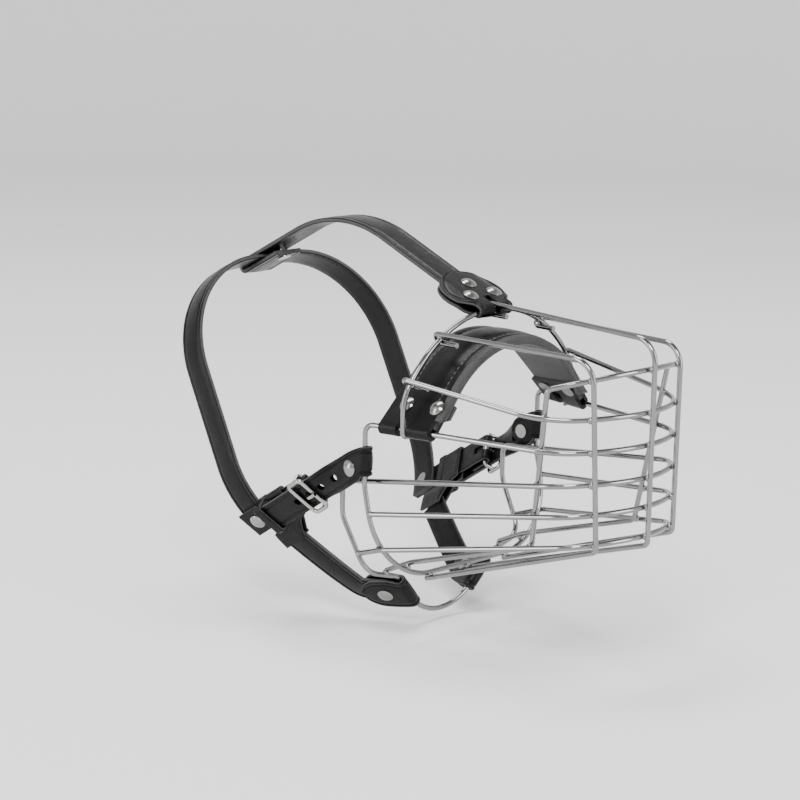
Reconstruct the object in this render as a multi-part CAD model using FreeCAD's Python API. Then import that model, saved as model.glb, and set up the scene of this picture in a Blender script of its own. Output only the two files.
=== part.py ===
"""Wire basket muzzle for a large dog, with a leather head harness.

Millimetres. +Z is up, the nose end faces -Y and X = 0 is the plane of symmetry.
The origin is the underside of the nose pad, midway along it, where the muzzle rests on the nose bridge.
Each sub-part is written to parts/NODE.step.
"""
import FreeCAD, Part
import math
import os

V = FreeCAD.Vector

# ---- driving dimensions -------------------------------------------------------------
WIRE = 2.8                    # diameter of every basket wire
WELD_GAP = 0.03               # air left between two wires that cross, filled by the weld
RIM_Y = 2.0                   # plane of the arch over the nose bridge
RIM_TOP_RADIUS = 73.0
RIM_TOP_CENTRE_Z = -56.5      # the arch's crown is this height plus the radius
RIM_SHOULDER_RADIUS = 25.0
RIM_HALF_WIDTH = 65.0
RIM_FOOT_Z = -42.3            # the arch's legs turn in here, under the cheek frame
RIM_FOOT_REACH = 5.0

FRONT_APEX_Y = -116.4         # where the side wires' front tangents meet on the centre plane
FRONT_RADIUS = 56.0
FRONT_SLOPE = 0.7             # how far the side wires' front tangents run back per unit of width

CHEEK_X = 66.5                # outermost run of the cheek frame, where the cheek straps fold on
CHEEK_Y = 27.5
CHEEK_TOP_Z = -39.5
CHEEK_LOW_Z = -72.0
CHEEK_FRONT_X = 44.1          # the cheek frame's front corner
CHEEK_FRONT_Z = -38.8
CHEEK_APEX_Z = -36.2
JAW_Z = -123.0                # the cheek frame's run under the jaw
JAW_Y = 15.2
JAW_CORNER_RADIUS = 38.0

LONG_X_TOP = 34.0             # the outer front-to-back wires, at their top front bends
LONG_X_LOW = 30.0
LONG_TOP_Z = 8.0
LONG_LOW_Z = -88.0
CENTRE_TOP_Z = 15.5
LONG_TOP_BEND = 12.0
LONG_LOW_BEND = 3.2
LONG_END_DROP = 1.22          # how far the long wires pass under the jaw run, in wire pitches
HOOK_RETURN = 10.0            # length of a hook's cut end, lying back under the arch
HOOK_BEHIND = 1.1             # how far a hook stands behind the arch, in wire pitches
HOOK_BEND = 0.88              # a hook's bend radius, in wire pitches
CORNER_SHARE = 0.93           # share of the free run that a side wire's front corner bend takes up
BEAD = 1.85                   # radius of a weld bead
BEAD_REACH = 1.3              # air between two wires that a bead still bridges

LEATHER = 2.2                 # thickness of a folded layer
STRAP = 2.6                   # thickness of the straps that lie between two folded layers
LINING = 2.9
FIT = 0.1                     # air between leather and the wire inside its fold
FOREHEAD_WIDTH = 20.0
STRAP_WIDTH = 16.0

PAD_FRONT_Y = -16.0
PAD_REAR_Y = 17.0
PAD_RADIUS = 53.4             # inside radius of the pad over the nose bridge
PAD_RETURN = 18.0             # how far the cover's folded ends come back up inside
PAD_NOTCH_Y = (0.2, 6.6)      # gap in each folded end for the arch's leg
PAD_NOTCH_Z = -33.0
PAD_NOTCH_SIZE = 40.0         # taller and wider than the folded ends it cuts
PAD_NOTCH_X = 45.0
LINING_LIFT = 1.0             # the lining's ends stop this far above the wire's air gap
PAD_TAIL_FRONT_Y = -12.5
PAD_RIVETS_Y = (-10.5, 8.0)
PAD_RIVET_REACH = 13.3        # from the cheek frame's centre line up to the rivets

RIVET_RADIUS = 4.3
RIVET_RISE = 1.7
RIVET_FLANGE = 0.5
RIVET_SHANK = 1.5
RIVET_CAP = 0.9               # thickness of the flat cap inside
RIVET_CAP_INSET = 0.5

FOREHEAD_SLOPE = 22.0         # the forehead strap climbs to the rear at this angle
FOREHEAD_BEND = 80.0
FOREHEAD_RETURN = 28.0        # length of its end, folded back under the neck strap
TAB_HALF_WIDTH = 19.5
TAB_HALF_LENGTH = 17.5
TAB_CENTRE = 16.0             # along the strap from the arch to the middle of the tab
TAB_NECK = 24.0               # width of the tab where it folds round the arch
TAB_FOLD = 10.0               # straight run of the fold, inside the oval
TAB_RIVETS = ((8.8, 9.6), (-8.8, 9.6), (0.0, 20.5))
HOOK_SLOT = (4.23, 20.0, 40.0)
HOOK_SLOT_FRONT = -12.5
FOREHEAD_START = 0.9          # from the edge of the front rivets' shanks to the strap's end
LOOP_AIR = 0.2                # between the forehead strap's loop and the neck strap
LOOP_SPARE = 1.0
LOOP_RIVET = 7.0              # from the neck strap's edge to the loop's rivet

CHEEK_STRAP_SLOPE = -33.0
CHEEK_TAB_Z = -59.0           # middle of the fold on the cheek frame
CHEEK_FOLD_WIDTH = 15.2
CHEEK_RETURN = 16.0           # length of the strap's folded end, inside
CHEEK_FOLD = 6.0              # straight run of the fold behind the wire
CHEEK_RIVET_REACH = 8.6
TWIST_STEPS = 10
TWIST_LEAD = 9.0              # the turn ends this far ahead of the buckle's middle
TWIST_START = 13.0            # the strap lies flat against the cheek frame up to here
BUCKLE_REACH = 43.1           # from the cheek frame along the strap to the buckle's middle
BUCKLE_X = 71.0
BUCKLE_TWIST = 37.0           # the strap turns by this much about its own line on its way to the buckle
STRAP_TIP = 41.5              # from the buckle's middle to the strap's tip
HOLE_REACH = (21.5, 32.1, 42.65, 53.2)
HOLE_RADIUS = 2.0

BUCKLE_WIRE = 2.4
BUCKLE_LENGTH = 10.0          # between the centres of the two outer bars
BUCKLE_SIDE = 10.5            # from the strap's middle to the centre of each side rail
BUCKLE_BEND = 2.4
BUCKLE_LIFT = 0.1             # air between the strap and the two bars that cross it
BAR_WIRE = 2.0
BAR_DEPTH = 4.6               # the hidden bar lies this far under the strap's middle
BAR_BEND = 2.0
PRONG_WIRE = 2.0
PRONG_CLEARANCE = 0.05        # radial running clearance of the prong's eye on its bar
PRONG_WIDTH = 3.0
PRONG_EYE_WALL = 1.1
PRONG_ROOT = 0.4              # where the tine starts inside the eye's wall
PRONG_LEAN = 1.6              # the tine leans back by this much on its way up through the strap
PRONG_TIP = 2.8               # how far the tine passes the bar it rests on
PRONG_REST = 0.3              # air between the tine and that bar
PRONG_SLOT = (15.0, 4.0, 12.0)
BACK_AIR = 0.15               # between the hidden bar and the strap folded round it
NECK_SEAM = 0.05              # air between the back strap and the neck strap
BACK_RETURN = 13.0            # length of the back strap's folded end
BACK_STRAP = 1.8              # thickness of the strap folded round the hidden bar
KEEPER_REACH = 36.0
KEEPER_LENGTH = 5.0
KEEPER_WALL = 1.8
KEEPER_AIR = 0.35
THROAT_LOOP_REACH = 26.5
THROAT_LOOP_LENGTH = 13.0
# the hanging piece's outline below the loop, as (along, across) in the buckle's frame
THROAT_HANGER = ((20.0, -9.6), (33.0, -9.6), (33.0, -10.6), (49.5, -10.6), (51.0, -23.0), (33.5, -20.0),
                 (26.0, -11.6), (20.0, -11.6))
THROAT_HANGER_FOOT = (42.0, -20.3)   # where the throat strap's upper end lies in it
THROAT_LOOP_AIR = 0.1
THROAT_TAB_REACH = 13.0       # along the throat frame's leg, from its bend to the middle of the tab
THROAT_TAB_LINE = (0.42, 0.90, -0.05)   # the tab's way back from the throat frame
THROAT_TAB_LENGTH = 24.0
THROAT_FOLD = 6.0
THROAT_FOLD_WIDTH = 20.0
THROAT_RIVET_REACH = 11.0
THROAT_STRAP_START = 9.0      # inside the tab
THROAT_STRAP_BEND = 28.0      # the strap's curve turns about this point ahead of the wire

NECK_SLOPE = 62.0
NECK_REACH = 52.0             # from the buckle's middle to the neck strap's lower end
NECK_RISE = 150.0             # from the neck strap's lower end to its crown, along its plane
NECK_TOP_RADIUS = 58.0
NECK_STEPS = 8
NECK_STEP = 5.0               # the neck strap turns square to the head over steps of this length

PITCH = WIRE + WELD_GAP
GAP = WIRE / 2 + FIT          # half the space between a fold's two layers
X_AXIS = V(1, 0, 0)
Y_AXIS = V(0, 1, 0)
Z_AXIS = V(0, 0, 1)

# corners of the wires' paths on the +X side, with their bend radii
RIM_HEEL_BEND = 2.6
UPPER_HOOK_X = 60.0
UPPER_HOOK_OFF = 1.22         # this hook stands further off the arch, in wire pitches
UPPER_FRONT = (49.4, -22.6, -19.6)
LONG_HOOK_X = 38.6
CHEEK_TOP = V(CHEEK_X, CHEEK_Y, CHEEK_TOP_Z)
CHEEK_TOP_BEND = 5.0
CHEEK_LOW = V(CHEEK_X, CHEEK_Y, CHEEK_LOW_Z)
CHEEK_LOW_BEND = 20.0
JAW_CORNER = V(CHEEK_X, JAW_Y, JAW_Z)
THROAT_STEP = V(36, 33, -128)
THROAT_APEX = V(0, 35, -169)
THROAT_LOOP_RADIUS = 32.0
THROAT_CORNERS = [(THROAT_APEX, 0.0), (THROAT_STEP, 10.0), (V(60, 32, -121), 12.0), (V(62, 48, -93), 14.0),
                  (V(62, 48, -74), 6.0)]
THROAT_FRONT = (43.3, -55.0, -53.0)
THROAT_FRONT_BEND = 27.0
LOWER_END = V(CHEEK_X, 22.2, -86.5)
LOWER_FRONT = (39.8, -70.7, -67.4)
BOTTOM_END = V(60.6, 35.6, -111.1)
BOTTOM_KINK = V(63.6, 18.5, -105.4)
BOTTOM_KINK_BEND = 12.0
BOTTOM_FRONT = (38.3, -86.2, -81.8)
FRONT_LEG = [(V(44, 32.5, -122.9), 0.0), (V(43.4, JAW_Y, -115.0), 30.0), (V(40, -65.3, -90.5), 4.5),
             (V(46.7, -78, -7), 3.5)]
FRONT_OVER = (41.0, -3.9, 5.0)
FRONT_OVER_BEND = 25.0


# ---- small geometry helpers -----------------------------------------------------------
def mirrored(point):
    return V(-point.x, point.y, point.z)


def unit(vector):
    return vector * (1.0 / vector.Length)


def corner_arc(before, corner, after, radius):
    """Tangent points, middle and centre of the arc that rounds one corner of a path."""
    back = unit(before - corner)
    ahead = unit(after - corner)
    half_angle = back.getAngle(ahead) / 2
    reach = radius / math.tan(half_angle)
    bisector = unit(back + ahead)
    centre = corner + bisector * (radius / math.sin(half_angle))
    return corner + back * reach, centre - bisector * radius, corner + ahead * reach, centre


def rounded_path(corners):
    """Edges of a path through (point, bend radius) corners: straight runs and tangent arcs."""
    edges = []
    here = corners[0][0]
    for index in range(1, len(corners) - 1):
        point, radius = corners[index]
        start, middle, end, _ = corner_arc(corners[index - 1][0], point, corners[index + 1][0], radius)
        if (start - here).Length > 0.01:
            edges.append(Part.LineSegment(here, start).toShape())
        edges.append(Part.Arc(start, middle, end).toShape())
        here = end
    last = corners[-1][0]
    if (last - here).Length > 0.01:
        edges.append(Part.LineSegment(here, last).toShape())
    return edges


def half_path(corners, first_radius=0.0, last_radius=0.0):
    """One half of a symmetrical path: an end with a radius is a bend cut in two by X = 0."""
    edges = []
    inner = list(corners)
    if first_radius:
        apex, after = corners[0][0], corners[1][0]
        _, middle, end, centre = corner_arc(mirrored(after), apex, after, first_radius)
        between = centre + unit((middle - centre) + (end - centre)) * first_radius
        edges.append(Part.Arc(middle, between, end).toShape())
        inner[0] = (end, 0.0)
    closing = []
    if last_radius:
        before, apex = corners[-2][0], corners[-1][0]
        start, middle, _, centre = corner_arc(before, apex, mirrored(before), last_radius)
        between = centre + unit((start - centre) + (middle - centre)) * last_radius
        closing.append(Part.Arc(start, between, middle).toShape())
        inner[-1] = (start, 0.0)
    return edges + rounded_path(inner) + closing


def tube(edges, diameter=WIRE):
    """A round wire along a path."""
    spine = Part.Wire(edges)
    first = spine.OrderedEdges[0]
    start = first.valueAt(first.FirstParameter)
    along = first.tangentAt(first.FirstParameter)
    if first.Orientation == "Reversed":
        start = first.valueAt(first.LastParameter)
        along = first.tangentAt(first.LastParameter) * -1
    ring = Part.Wire(Part.makeCircle(diameter / 2, start, along))
    sweep = Part.BRepOffsetAPI.MakePipeShell(spine)
    sweep.add(ring)
    sweep.build()
    sweep.makeSolid()
    solid = sweep.shape()
    expected = math.pi * (diameter / 2) ** 2 * spine.Length
    if abs(solid.Volume / expected - 1) > 0.01:
        raise ValueError("a wire's volume is not its section times its length")
    return solid


def mirror_x(shape):
    return shape.mirror(V(0, 0, 0), V(1, 0, 0))


def both_halves(half):
    return half.fuse(mirror_x(half)).removeSplitter()


def band(edges, thickness, width, across):
    """A flat strap along a planar path: the path is its mid-thickness, across its width's direction."""
    spine = Part.Wire(edges)
    first = spine.OrderedEdges[0]
    start = first.valueAt(first.FirstParameter)
    along = first.tangentAt(first.FirstParameter)
    if first.Orientation == "Reversed":
        start = first.valueAt(first.LastParameter)
        along = first.tangentAt(first.LastParameter) * -1
    side = unit(across) * (width / 2)
    out = unit(across.cross(along)) * (thickness / 2)
    ring = Part.makePolygon([start + side + out, start - side + out, start - side - out,
                             start + side - out, start + side + out])
    sweep = Part.BRepOffsetAPI.MakePipeShell(spine)
    sweep.setBiNormalMode(unit(across))
    sweep.add(ring)
    sweep.build()
    sweep.makeSolid()
    return sweep.shape()


def fold(centre, along, across, length, half_gap, thickness, width):
    """A strap end folded round a wire: two layers that run away along a direction."""
    out = unit(across.cross(along))
    offset = out * (half_gap + thickness / 2)
    nose = centre - along * (half_gap + thickness / 2)
    edges = [Part.LineSegment(centre + offset + along * length, centre + offset).toShape(),
             Part.Arc(centre + offset, nose, centre - offset).toShape(),
             Part.LineSegment(centre - offset, centre - offset + along * length).toShape()]
    return band(edges, thickness, width, across)


def plate(centre, along, across, length, width, thickness, back=0.0):
    """A flat strap from centre - along * back to centre + along * length, with a rounded tip."""
    out = unit(along.cross(across))
    radius = width / 2
    base = centre - out * (thickness / 2)
    near_left = base - along * back + across * radius
    near_right = base - along * back - across * radius
    far_left = base + along * (length - radius) + across * radius
    far_right = base + along * (length - radius) - across * radius
    outline = Part.Wire([Part.LineSegment(near_left, far_left).toShape(),
                         Part.Arc(far_left, base + along * length, far_right).toShape(),
                         Part.LineSegment(far_right, near_right).toShape(),
                         Part.LineSegment(near_right, near_left).toShape()])
    return Part.Face(outline).extrude(out * thickness)


def rivet(seat, outward, depth):
    """A domed rivet: head on the seat, a shank of the given depth and a flat cap inside."""
    cap_radius = (RIVET_RADIUS ** 2 + RIVET_RISE ** 2) / (2 * RIVET_RISE)
    dome = Part.makeSphere(cap_radius, seat + outward * (RIVET_FLANGE + RIVET_RISE - cap_radius))
    keep = Part.makeCylinder(RIVET_RADIUS, RIVET_FLANGE + RIVET_RISE + 1, seat, outward)
    head = dome.common(keep)
    shank = Part.makeCylinder(RIVET_SHANK, depth, seat - outward * depth, outward)
    cap_seat = seat - outward * (depth + RIVET_CAP)
    cap = Part.makeCylinder(RIVET_RADIUS - RIVET_CAP_INSET, RIVET_CAP, cap_seat, outward)
    return head.fuse(shank).fuse(cap)


def shank_hole(seat, outward, depth):
    return Part.makeCylinder(RIVET_SHANK, depth + 2, seat - outward * (depth + 1), outward)


def ribbon(stations, thickness, width):
    """A strap that may twist: (centre, width direction, outward normal) stations joined by flat spans."""
    rings = []
    for centre, across, out in stations:
        side = across * (width / 2)
        lift = out * (thickness / 2)
        rings.append(Part.makePolygon([centre + side + lift, centre - side + lift, centre - side - lift,
                                       centre + side - lift, centre + side + lift]))
    return Part.makeLoft(rings, True, True)


def turned(vector, axis, degrees):
    """A vector turned about an axis."""
    return FreeCAD.Rotation(axis, degrees).multVec(vector)


def block(centre, axes, sizes):
    """A box given by its centre, three directions and three sizes."""
    along, across, out = axes
    length, width, height = sizes
    base = centre - along * (length / 2)
    side = across * (width / 2)
    lift = out * (height / 2)
    ring = Part.makePolygon([base + side + lift, base - side + lift, base - side - lift,
                             base + side - lift, base + side + lift])
    return Part.Face(ring).extrude(along * length)


def sleeve(centre, axes, length, opening, wall):
    """A band of leather round straps: a box with an opening of (width, height) right through."""
    outer = block(centre, axes, (length, opening[0] + 2 * wall, opening[1] + 2 * wall))
    return outer.cut(block(centre, axes, (length + 2, opening[0], opening[1])))


# ---- the wires ----------------------------------------------------------------------------
def rim_half_edges():
    """Half of the arch, from the foot of its leg to its crown."""
    reach = RIM_TOP_RADIUS - RIM_SHOULDER_RADIUS
    shoulder_x = RIM_HALF_WIDTH - RIM_SHOULDER_RADIUS
    angle = math.acos(shoulder_x / reach)
    shoulder_z = RIM_TOP_CENTRE_Z + reach * math.sin(angle)

    def at(x, z, radius, turn):
        return V(x + radius * math.cos(turn), RIM_Y, z + radius * math.sin(turn))

    foot = V(RIM_HALF_WIDTH - RIM_FOOT_REACH, RIM_Y, RIM_FOOT_Z)
    heel = V(RIM_HALF_WIDTH, RIM_Y, RIM_FOOT_Z)
    side = at(shoulder_x, shoulder_z, RIM_SHOULDER_RADIUS, 0)
    meet = at(0, RIM_TOP_CENTRE_Z, RIM_TOP_RADIUS, angle)
    crown = at(0, RIM_TOP_CENTRE_Z, RIM_TOP_RADIUS, math.pi / 2)
    leg = rounded_path([(foot, 0.0), (heel, RIM_HEEL_BEND), (side, 0.0)])
    shoulder = Part.Arc(side, at(shoulder_x, shoulder_z, RIM_SHOULDER_RADIUS, angle / 2), meet)
    top = Part.Arc(meet, at(0, RIM_TOP_CENTRE_Z, RIM_TOP_RADIUS, (angle + math.pi / 2) / 2), crown)
    return leg + [shoulder.toShape(), top.toShape()]


def rim_point(x):
    """A point on the arch's centre line and the outward normal there."""
    height = math.sqrt(RIM_TOP_RADIUS ** 2 - x ** 2)
    return V(x, RIM_Y, RIM_TOP_CENTRE_Z + height), V(x, 0, height) * (1 / RIM_TOP_RADIUS)


FRONT_Y = FRONT_APEX_Y + FRONT_RADIUS * (math.hypot(1, FRONT_SLOPE) - 1)


def front_y(x):
    """Where the side wires' front bend is, at a distance from the centre plane."""
    return FRONT_Y + FRONT_RADIUS - math.sqrt(FRONT_RADIUS ** 2 - x ** 2)


def outer_y(x):
    """Where a wire that touches the front bend from outside stands."""
    return front_y(x) - PITCH / math.cos(math.asin(x / FRONT_RADIUS))


def side_wire(rear, front):
    """Half of a wire that runs forward along one side and round the front."""
    corner_x, corner_z, apex_z = front
    corner = V(corner_x, FRONT_APEX_Y + FRONT_SLOPE * corner_x, corner_z)
    apex = V(0, FRONT_APEX_Y, apex_z)
    before = unit(rear[-1][0] - corner)
    ahead = unit(apex - corner)
    room = (apex - corner).Length - FRONT_RADIUS * FRONT_SLOPE
    radius = CORNER_SHARE * room * math.tan(before.getAngle(ahead) / 2)
    return half_path(rear + [(corner, radius), (apex, 0.0)], last_radius=FRONT_RADIUS)


def hook(x, stand_off=1.0):
    """Corners of a hooked end: the cut end under the arch, round behind it and over it."""
    centre, normal = rim_point(x)
    over = normal * (PITCH * stand_off)
    behind = V(0, PITCH * HOOK_BEHIND, 0)
    bend = PITCH * HOOK_BEND
    return [(centre - normal * PITCH - V(0, HOOK_RETURN, 0), 0.0), (centre - normal * PITCH + behind, bend),
            (centre + over + behind, bend)]


def long_wire(hook_x, top_x, top_z, low_x):
    """A wire from its hook on the arch, over the top, down the front and back under the jaw."""
    top = V(top_x, outer_y(top_x), top_z)
    low = V(low_x, outer_y(low_x), LONG_LOW_Z)
    end = V(low_x, JAW_Y + WIRE / 2, JAW_Z - PITCH * LONG_END_DROP)
    return rounded_path(hook(hook_x) + [(top, LONG_TOP_BEND), (low, LONG_LOW_BEND), (end, 0.0)])


def throat_half():
    """Half of the throat frame: the U under the throat, up the side, forward and round the front."""
    corner_x, corner_z, apex_z = THROAT_FRONT
    corner = V(corner_x, FRONT_APEX_Y + FRONT_SLOPE * corner_x, corner_z)
    apex = V(0, FRONT_APEX_Y, apex_z)
    corners = THROAT_CORNERS + [(corner, THROAT_FRONT_BEND), (apex, 0.0)]
    return half_path(corners, THROAT_LOOP_RADIUS, FRONT_RADIUS)


def front_wire_half():
    """Half of the inner front wire: over the nose, down one leg and back under the jaw."""
    corner_x, corner_z, apex_z = FRONT_OVER
    over = V(corner_x, FRONT_APEX_Y + FRONT_SLOPE * corner_x, corner_z)
    apex = V(0, FRONT_APEX_Y, apex_z)
    return half_path(FRONT_LEG + [(over, FRONT_OVER_BEND), (apex, 0.0)], last_radius=FRONT_RADIUS)


cheek_rear = [(V(0, JAW_Y, JAW_Z), 0.0), (JAW_CORNER, JAW_CORNER_RADIUS), (CHEEK_LOW, CHEEK_LOW_BEND),
              (CHEEK_TOP, CHEEK_TOP_BEND)]
half_spines = {
    "rim_arch": rim_half_edges(),
    "upper_side_wire": side_wire(hook(UPPER_HOOK_X, UPPER_HOOK_OFF), UPPER_FRONT),
    "cheek_frame_wire": side_wire(cheek_rear, (CHEEK_FRONT_X, CHEEK_FRONT_Z, CHEEK_APEX_Z)),
    "throat_frame_wire": throat_half(),
    "lower_side_wire": side_wire([(LOWER_END, 0.0)], LOWER_FRONT),
    "bottom_side_wire": side_wire([(BOTTOM_END, 0.0), (BOTTOM_KINK, BOTTOM_KINK_BEND)], BOTTOM_FRONT),
    "inner_front_wire": front_wire_half(),
}
long_spines = {
    "left_long_wire": long_wire(LONG_HOOK_X, LONG_X_TOP, LONG_TOP_Z, LONG_X_LOW),
    "centre_long_wire": long_wire(0, 0, CENTRE_TOP_Z, 0),
}
nodes = {}
for name, edges in half_spines.items():
    nodes[name] = both_halves(tube(edges))
for name, edges in long_spines.items():
    nodes[name] = tube(edges)
nodes["right_long_wire"] = mirror_x(nodes["left_long_wire"])


# ---- weld beads -------------------------------------------------------------------------------
def beads_between(first, second):
    """A bead wherever two wires come within a bead of each other, on the +X half."""
    one, other = Part.Wire(first), Part.Wire(second)
    found = []
    for edge in one.Edges:
        gap, pairs, _ = edge.distToShape(other)
        if gap > PITCH + BEAD_REACH:
            continue
        middle = (pairs[0][0] + pairs[0][1]) * 0.5
        if all((middle - seen).Length > 2 * BEAD for seen in found):
            found.append(middle)
    return found


bead_places = []
crossing = ["upper_side_wire", "cheek_frame_wire", "throat_frame_wire", "lower_side_wire",
            "bottom_side_wire", "inner_front_wire"]
for name in crossing:
    for long_name in long_spines:
        bead_places += beads_between(half_spines[name], long_spines[long_name])
for name in crossing[:-1]:
    bead_places += beads_between(half_spines[name], half_spines["inner_front_wire"])
for name in ("lower_side_wire", "bottom_side_wire"):
    bead_places += beads_between(half_spines[name], half_spines["cheek_frame_wire"])
bead_places += beads_between(half_spines["bottom_side_wire"], half_spines["throat_frame_wire"])
for name in ("upper_side_wire", "cheek_frame_wire"):
    bead_places += beads_between(half_spines["rim_arch"], half_spines[name])
bead_places += beads_between(half_spines["rim_arch"], long_spines["left_long_wire"])
beads = []
for place in bead_places:
    beads.append(Part.makeSphere(BEAD, place))
    if place.x > BEAD:
        beads.append(Part.makeSphere(BEAD, mirrored(place)))


def merged(shapes):
    return shapes[0].multiFuse(shapes[1:]) if len(shapes) > 1 else shapes[0]


nodes["weld_beads"] = merged(beads)


# ---- nose pad -----------------------------------------------------------------------------------
def on_cheek_frame(y):
    """A point of the cheek frame's side run, beside the nose pad."""
    share = (y - CHEEK_Y) / (FRONT_APEX_Y + FRONT_SLOPE * CHEEK_FRONT_X - CHEEK_Y)
    return V(CHEEK_X + (CHEEK_FRONT_X - CHEEK_X) * share, y,
             CHEEK_TOP_Z + (CHEEK_FRONT_Z - CHEEK_TOP_Z) * share)


PAD_WRAP_RADIUS = PAD_RADIUS + LINING / 2


def pad_frame(y):
    """The wire's place, the tail's direction up from it and its outward normal, at one station."""
    seat = on_cheek_frame(y)
    rise = seat.z + PAD_RADIUS
    angle = math.atan2(seat.x, rise) - math.acos(PAD_WRAP_RADIUS / math.hypot(seat.x, rise))
    return seat, V(-math.cos(angle), 0, math.sin(angle)), V(math.sin(angle), 0, math.cos(angle))


def pad_arc(y, radius, normal):
    """The pad's arc over the nose, at one radius, between its two tails."""
    centre = V(0, y, -PAD_RADIUS)
    return Part.Arc(centre + mirrored(normal) * radius, centre + Z_AXIS * radius, centre + normal * radius)


def pad_line(a, b):
    return Part.LineSegment(a, b).toShape()


def cover_outline(y):
    """The cover's section: over the nose, round the wire on each side and back up inside."""
    seat, up, out = pad_frame(y)
    centre = V(0, y, -PAD_RADIUS)
    inner, outer = GAP, GAP + LEATHER
    top_out = centre + out * (PAD_WRAP_RADIUS + outer)
    top_in = centre + out * (PAD_WRAP_RADIUS + inner)
    right = [pad_line(top_out, seat + out * outer),
             Part.Arc(seat + out * outer, seat - up * outer, seat - out * outer).toShape(),
             pad_line(seat - out * outer, seat - out * outer + up * PAD_RETURN),
             pad_line(seat - out * outer + up * PAD_RETURN, seat - out * inner + up * PAD_RETURN),
             pad_line(seat - out * inner + up * PAD_RETURN, seat - out * inner),
             Part.Arc(seat - out * inner, seat - up * inner, seat + out * inner).toShape(),
             pad_line(seat + out * inner, top_in)]
    left = [edge.mirror(V(0, 0, 0), X_AXIS) for edge in right]
    over = pad_arc(y, PAD_WRAP_RADIUS + outer, out).toShape()
    under = pad_arc(y, PAD_WRAP_RADIUS + inner, out).toShape()
    return Part.Wire([over] + right + [under] + left[::-1])


def lining_outline(y):
    """The lining's section: an arc with tails that end in the cover's folds."""
    seat, up, out = pad_frame(y)
    half = LINING / 2
    centre = V(0, y, -PAD_RADIUS)
    low = seat + up * (GAP + LINING_LIFT)
    right = [pad_line(centre + out * (PAD_WRAP_RADIUS + half), low + out * half),
             pad_line(low + out * half, low - out * half),
             pad_line(low - out * half, centre + out * (PAD_WRAP_RADIUS - half))]
    left = [edge.mirror(V(0, 0, 0), X_AXIS) for edge in right]
    over = pad_arc(y, PAD_WRAP_RADIUS + half, out).toShape()
    under = pad_arc(y, PAD_WRAP_RADIUS - half, out).toShape()
    return Part.Wire([over] + right + [under] + left[::-1])


cover = Part.makeLoft([cover_outline(PAD_FRONT_Y), cover_outline(PAD_REAR_Y)], True, True)
lining = Part.makeLoft([lining_outline(PAD_FRONT_Y), lining_outline(PAD_REAR_Y)], True, True)
pad_rivets = []
for y in PAD_RIVETS_Y:
    seat, up, out = pad_frame(y)
    depth = 2 * (GAP + LEATHER)
    place = seat + up * PAD_RIVET_REACH + out * (depth / 2)
    pad_rivets.append(rivet(place, out, depth))
    for hole in (shank_hole(place, out, depth), mirror_x(shank_hole(place, out, depth))):
        cover = cover.cut(hole)
        lining = lining.cut(hole)
for low_y, high_y in (PAD_NOTCH_Y, (PAD_FRONT_Y - 1, PAD_TAIL_FRONT_Y)):
    notch = Part.makeBox(PAD_NOTCH_SIZE, high_y - low_y, PAD_NOTCH_SIZE,
                         V(PAD_NOTCH_X, low_y, PAD_NOTCH_Z - PAD_NOTCH_SIZE))
    cover = cover.cut(notch).cut(mirror_x(notch))
    lining = lining.cut(notch).cut(mirror_x(notch))
nodes["nose_pad_cover"] = cover
nodes["nose_pad_lining"] = lining.cut(cover)
nodes["left_pad_rivets"] = Part.makeCompound(pad_rivets)


# ---- top tab and forehead strap -----------------------------------------------------------------
crown = V(0, RIM_Y, RIM_TOP_CENTRE_Z + RIM_TOP_RADIUS)
slope = math.radians(FOREHEAD_SLOPE)
up_head = V(0, math.cos(slope), math.sin(slope))
head_out = V(0, -math.sin(slope), math.cos(slope))


def oval(centre, along, out, thickness):
    """One layer of the top tab."""
    middle = centre - out * (thickness / 2)
    ellipse = Part.Ellipse(middle + X_AXIS * TAB_HALF_WIDTH, middle + along * TAB_HALF_LENGTH, middle)
    return Part.Face(Part.Wire(ellipse.toShape())).extrude(out * thickness)


tab = fold(crown, up_head, X_AXIS, TAB_FOLD, GAP, LEATHER, TAB_NECK)
for side in (1, -1):
    offset = head_out * (side * (GAP + LEATHER / 2))
    tab = tab.fuse(oval(crown + up_head * TAB_CENTRE + offset, up_head, head_out, LEATHER))
hook_slot = Part.makeBox(*HOOK_SLOT, V(-HOOK_SLOT[0] / 2, HOOK_SLOT_FRONT, 0))
tab = tab.cut(hook_slot).cut(nodes["rim_arch"])

neck = math.radians(NECK_SLOPE)
up_neck = V(0, math.cos(neck), math.sin(neck))
neck_across = V(0, math.sin(neck), -math.cos(neck))
cheek = math.radians(CHEEK_STRAP_SLOPE)
strap_line = V(0, math.cos(cheek), math.sin(cheek))
strap_up = V(0, -math.sin(cheek), math.cos(cheek))
cheek_seat = V(CHEEK_X, CHEEK_Y, CHEEK_TAB_Z)
buckle_centre = V(BUCKLE_X, cheek_seat.y, cheek_seat.z) + strap_line * BUCKLE_REACH
buckle_out = turned(X_AXIS, strap_line, BUCKLE_TWIST)
buckle_across = turned(strap_up, strap_line, BUCKLE_TWIST)


def in_buckle(along, across, out):
    """A point in the buckle's own frame."""
    return buckle_centre + strap_line * along + buckle_across * across + buckle_out * out


back_lift = BAR_WIRE / 2 + BACK_AIR + BACK_STRAP / 2      # from the bar to the middle of the strap round it
back_depth = BAR_DEPTH + back_lift + BACK_STRAP / 2 + NECK_SEAM
neck_foot = in_buckle(NECK_REACH, -STRAP_WIDTH / 2, -back_depth - STRAP / 2)
neck_crown = V(0, neck_foot.y, neck_foot.z) + up_neck * NECK_RISE

head_start = crown + up_head * (TAB_RIVETS[0][1] + RIVET_SHANK + FOREHEAD_START)
loop_gap = STRAP / 2 + LOOP_AIR
over_neck = neck_crown + up_neck * (loop_gap + STRAP / 2)
under_neck = neck_crown - up_neck * (loop_gap + STRAP / 2)
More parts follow.
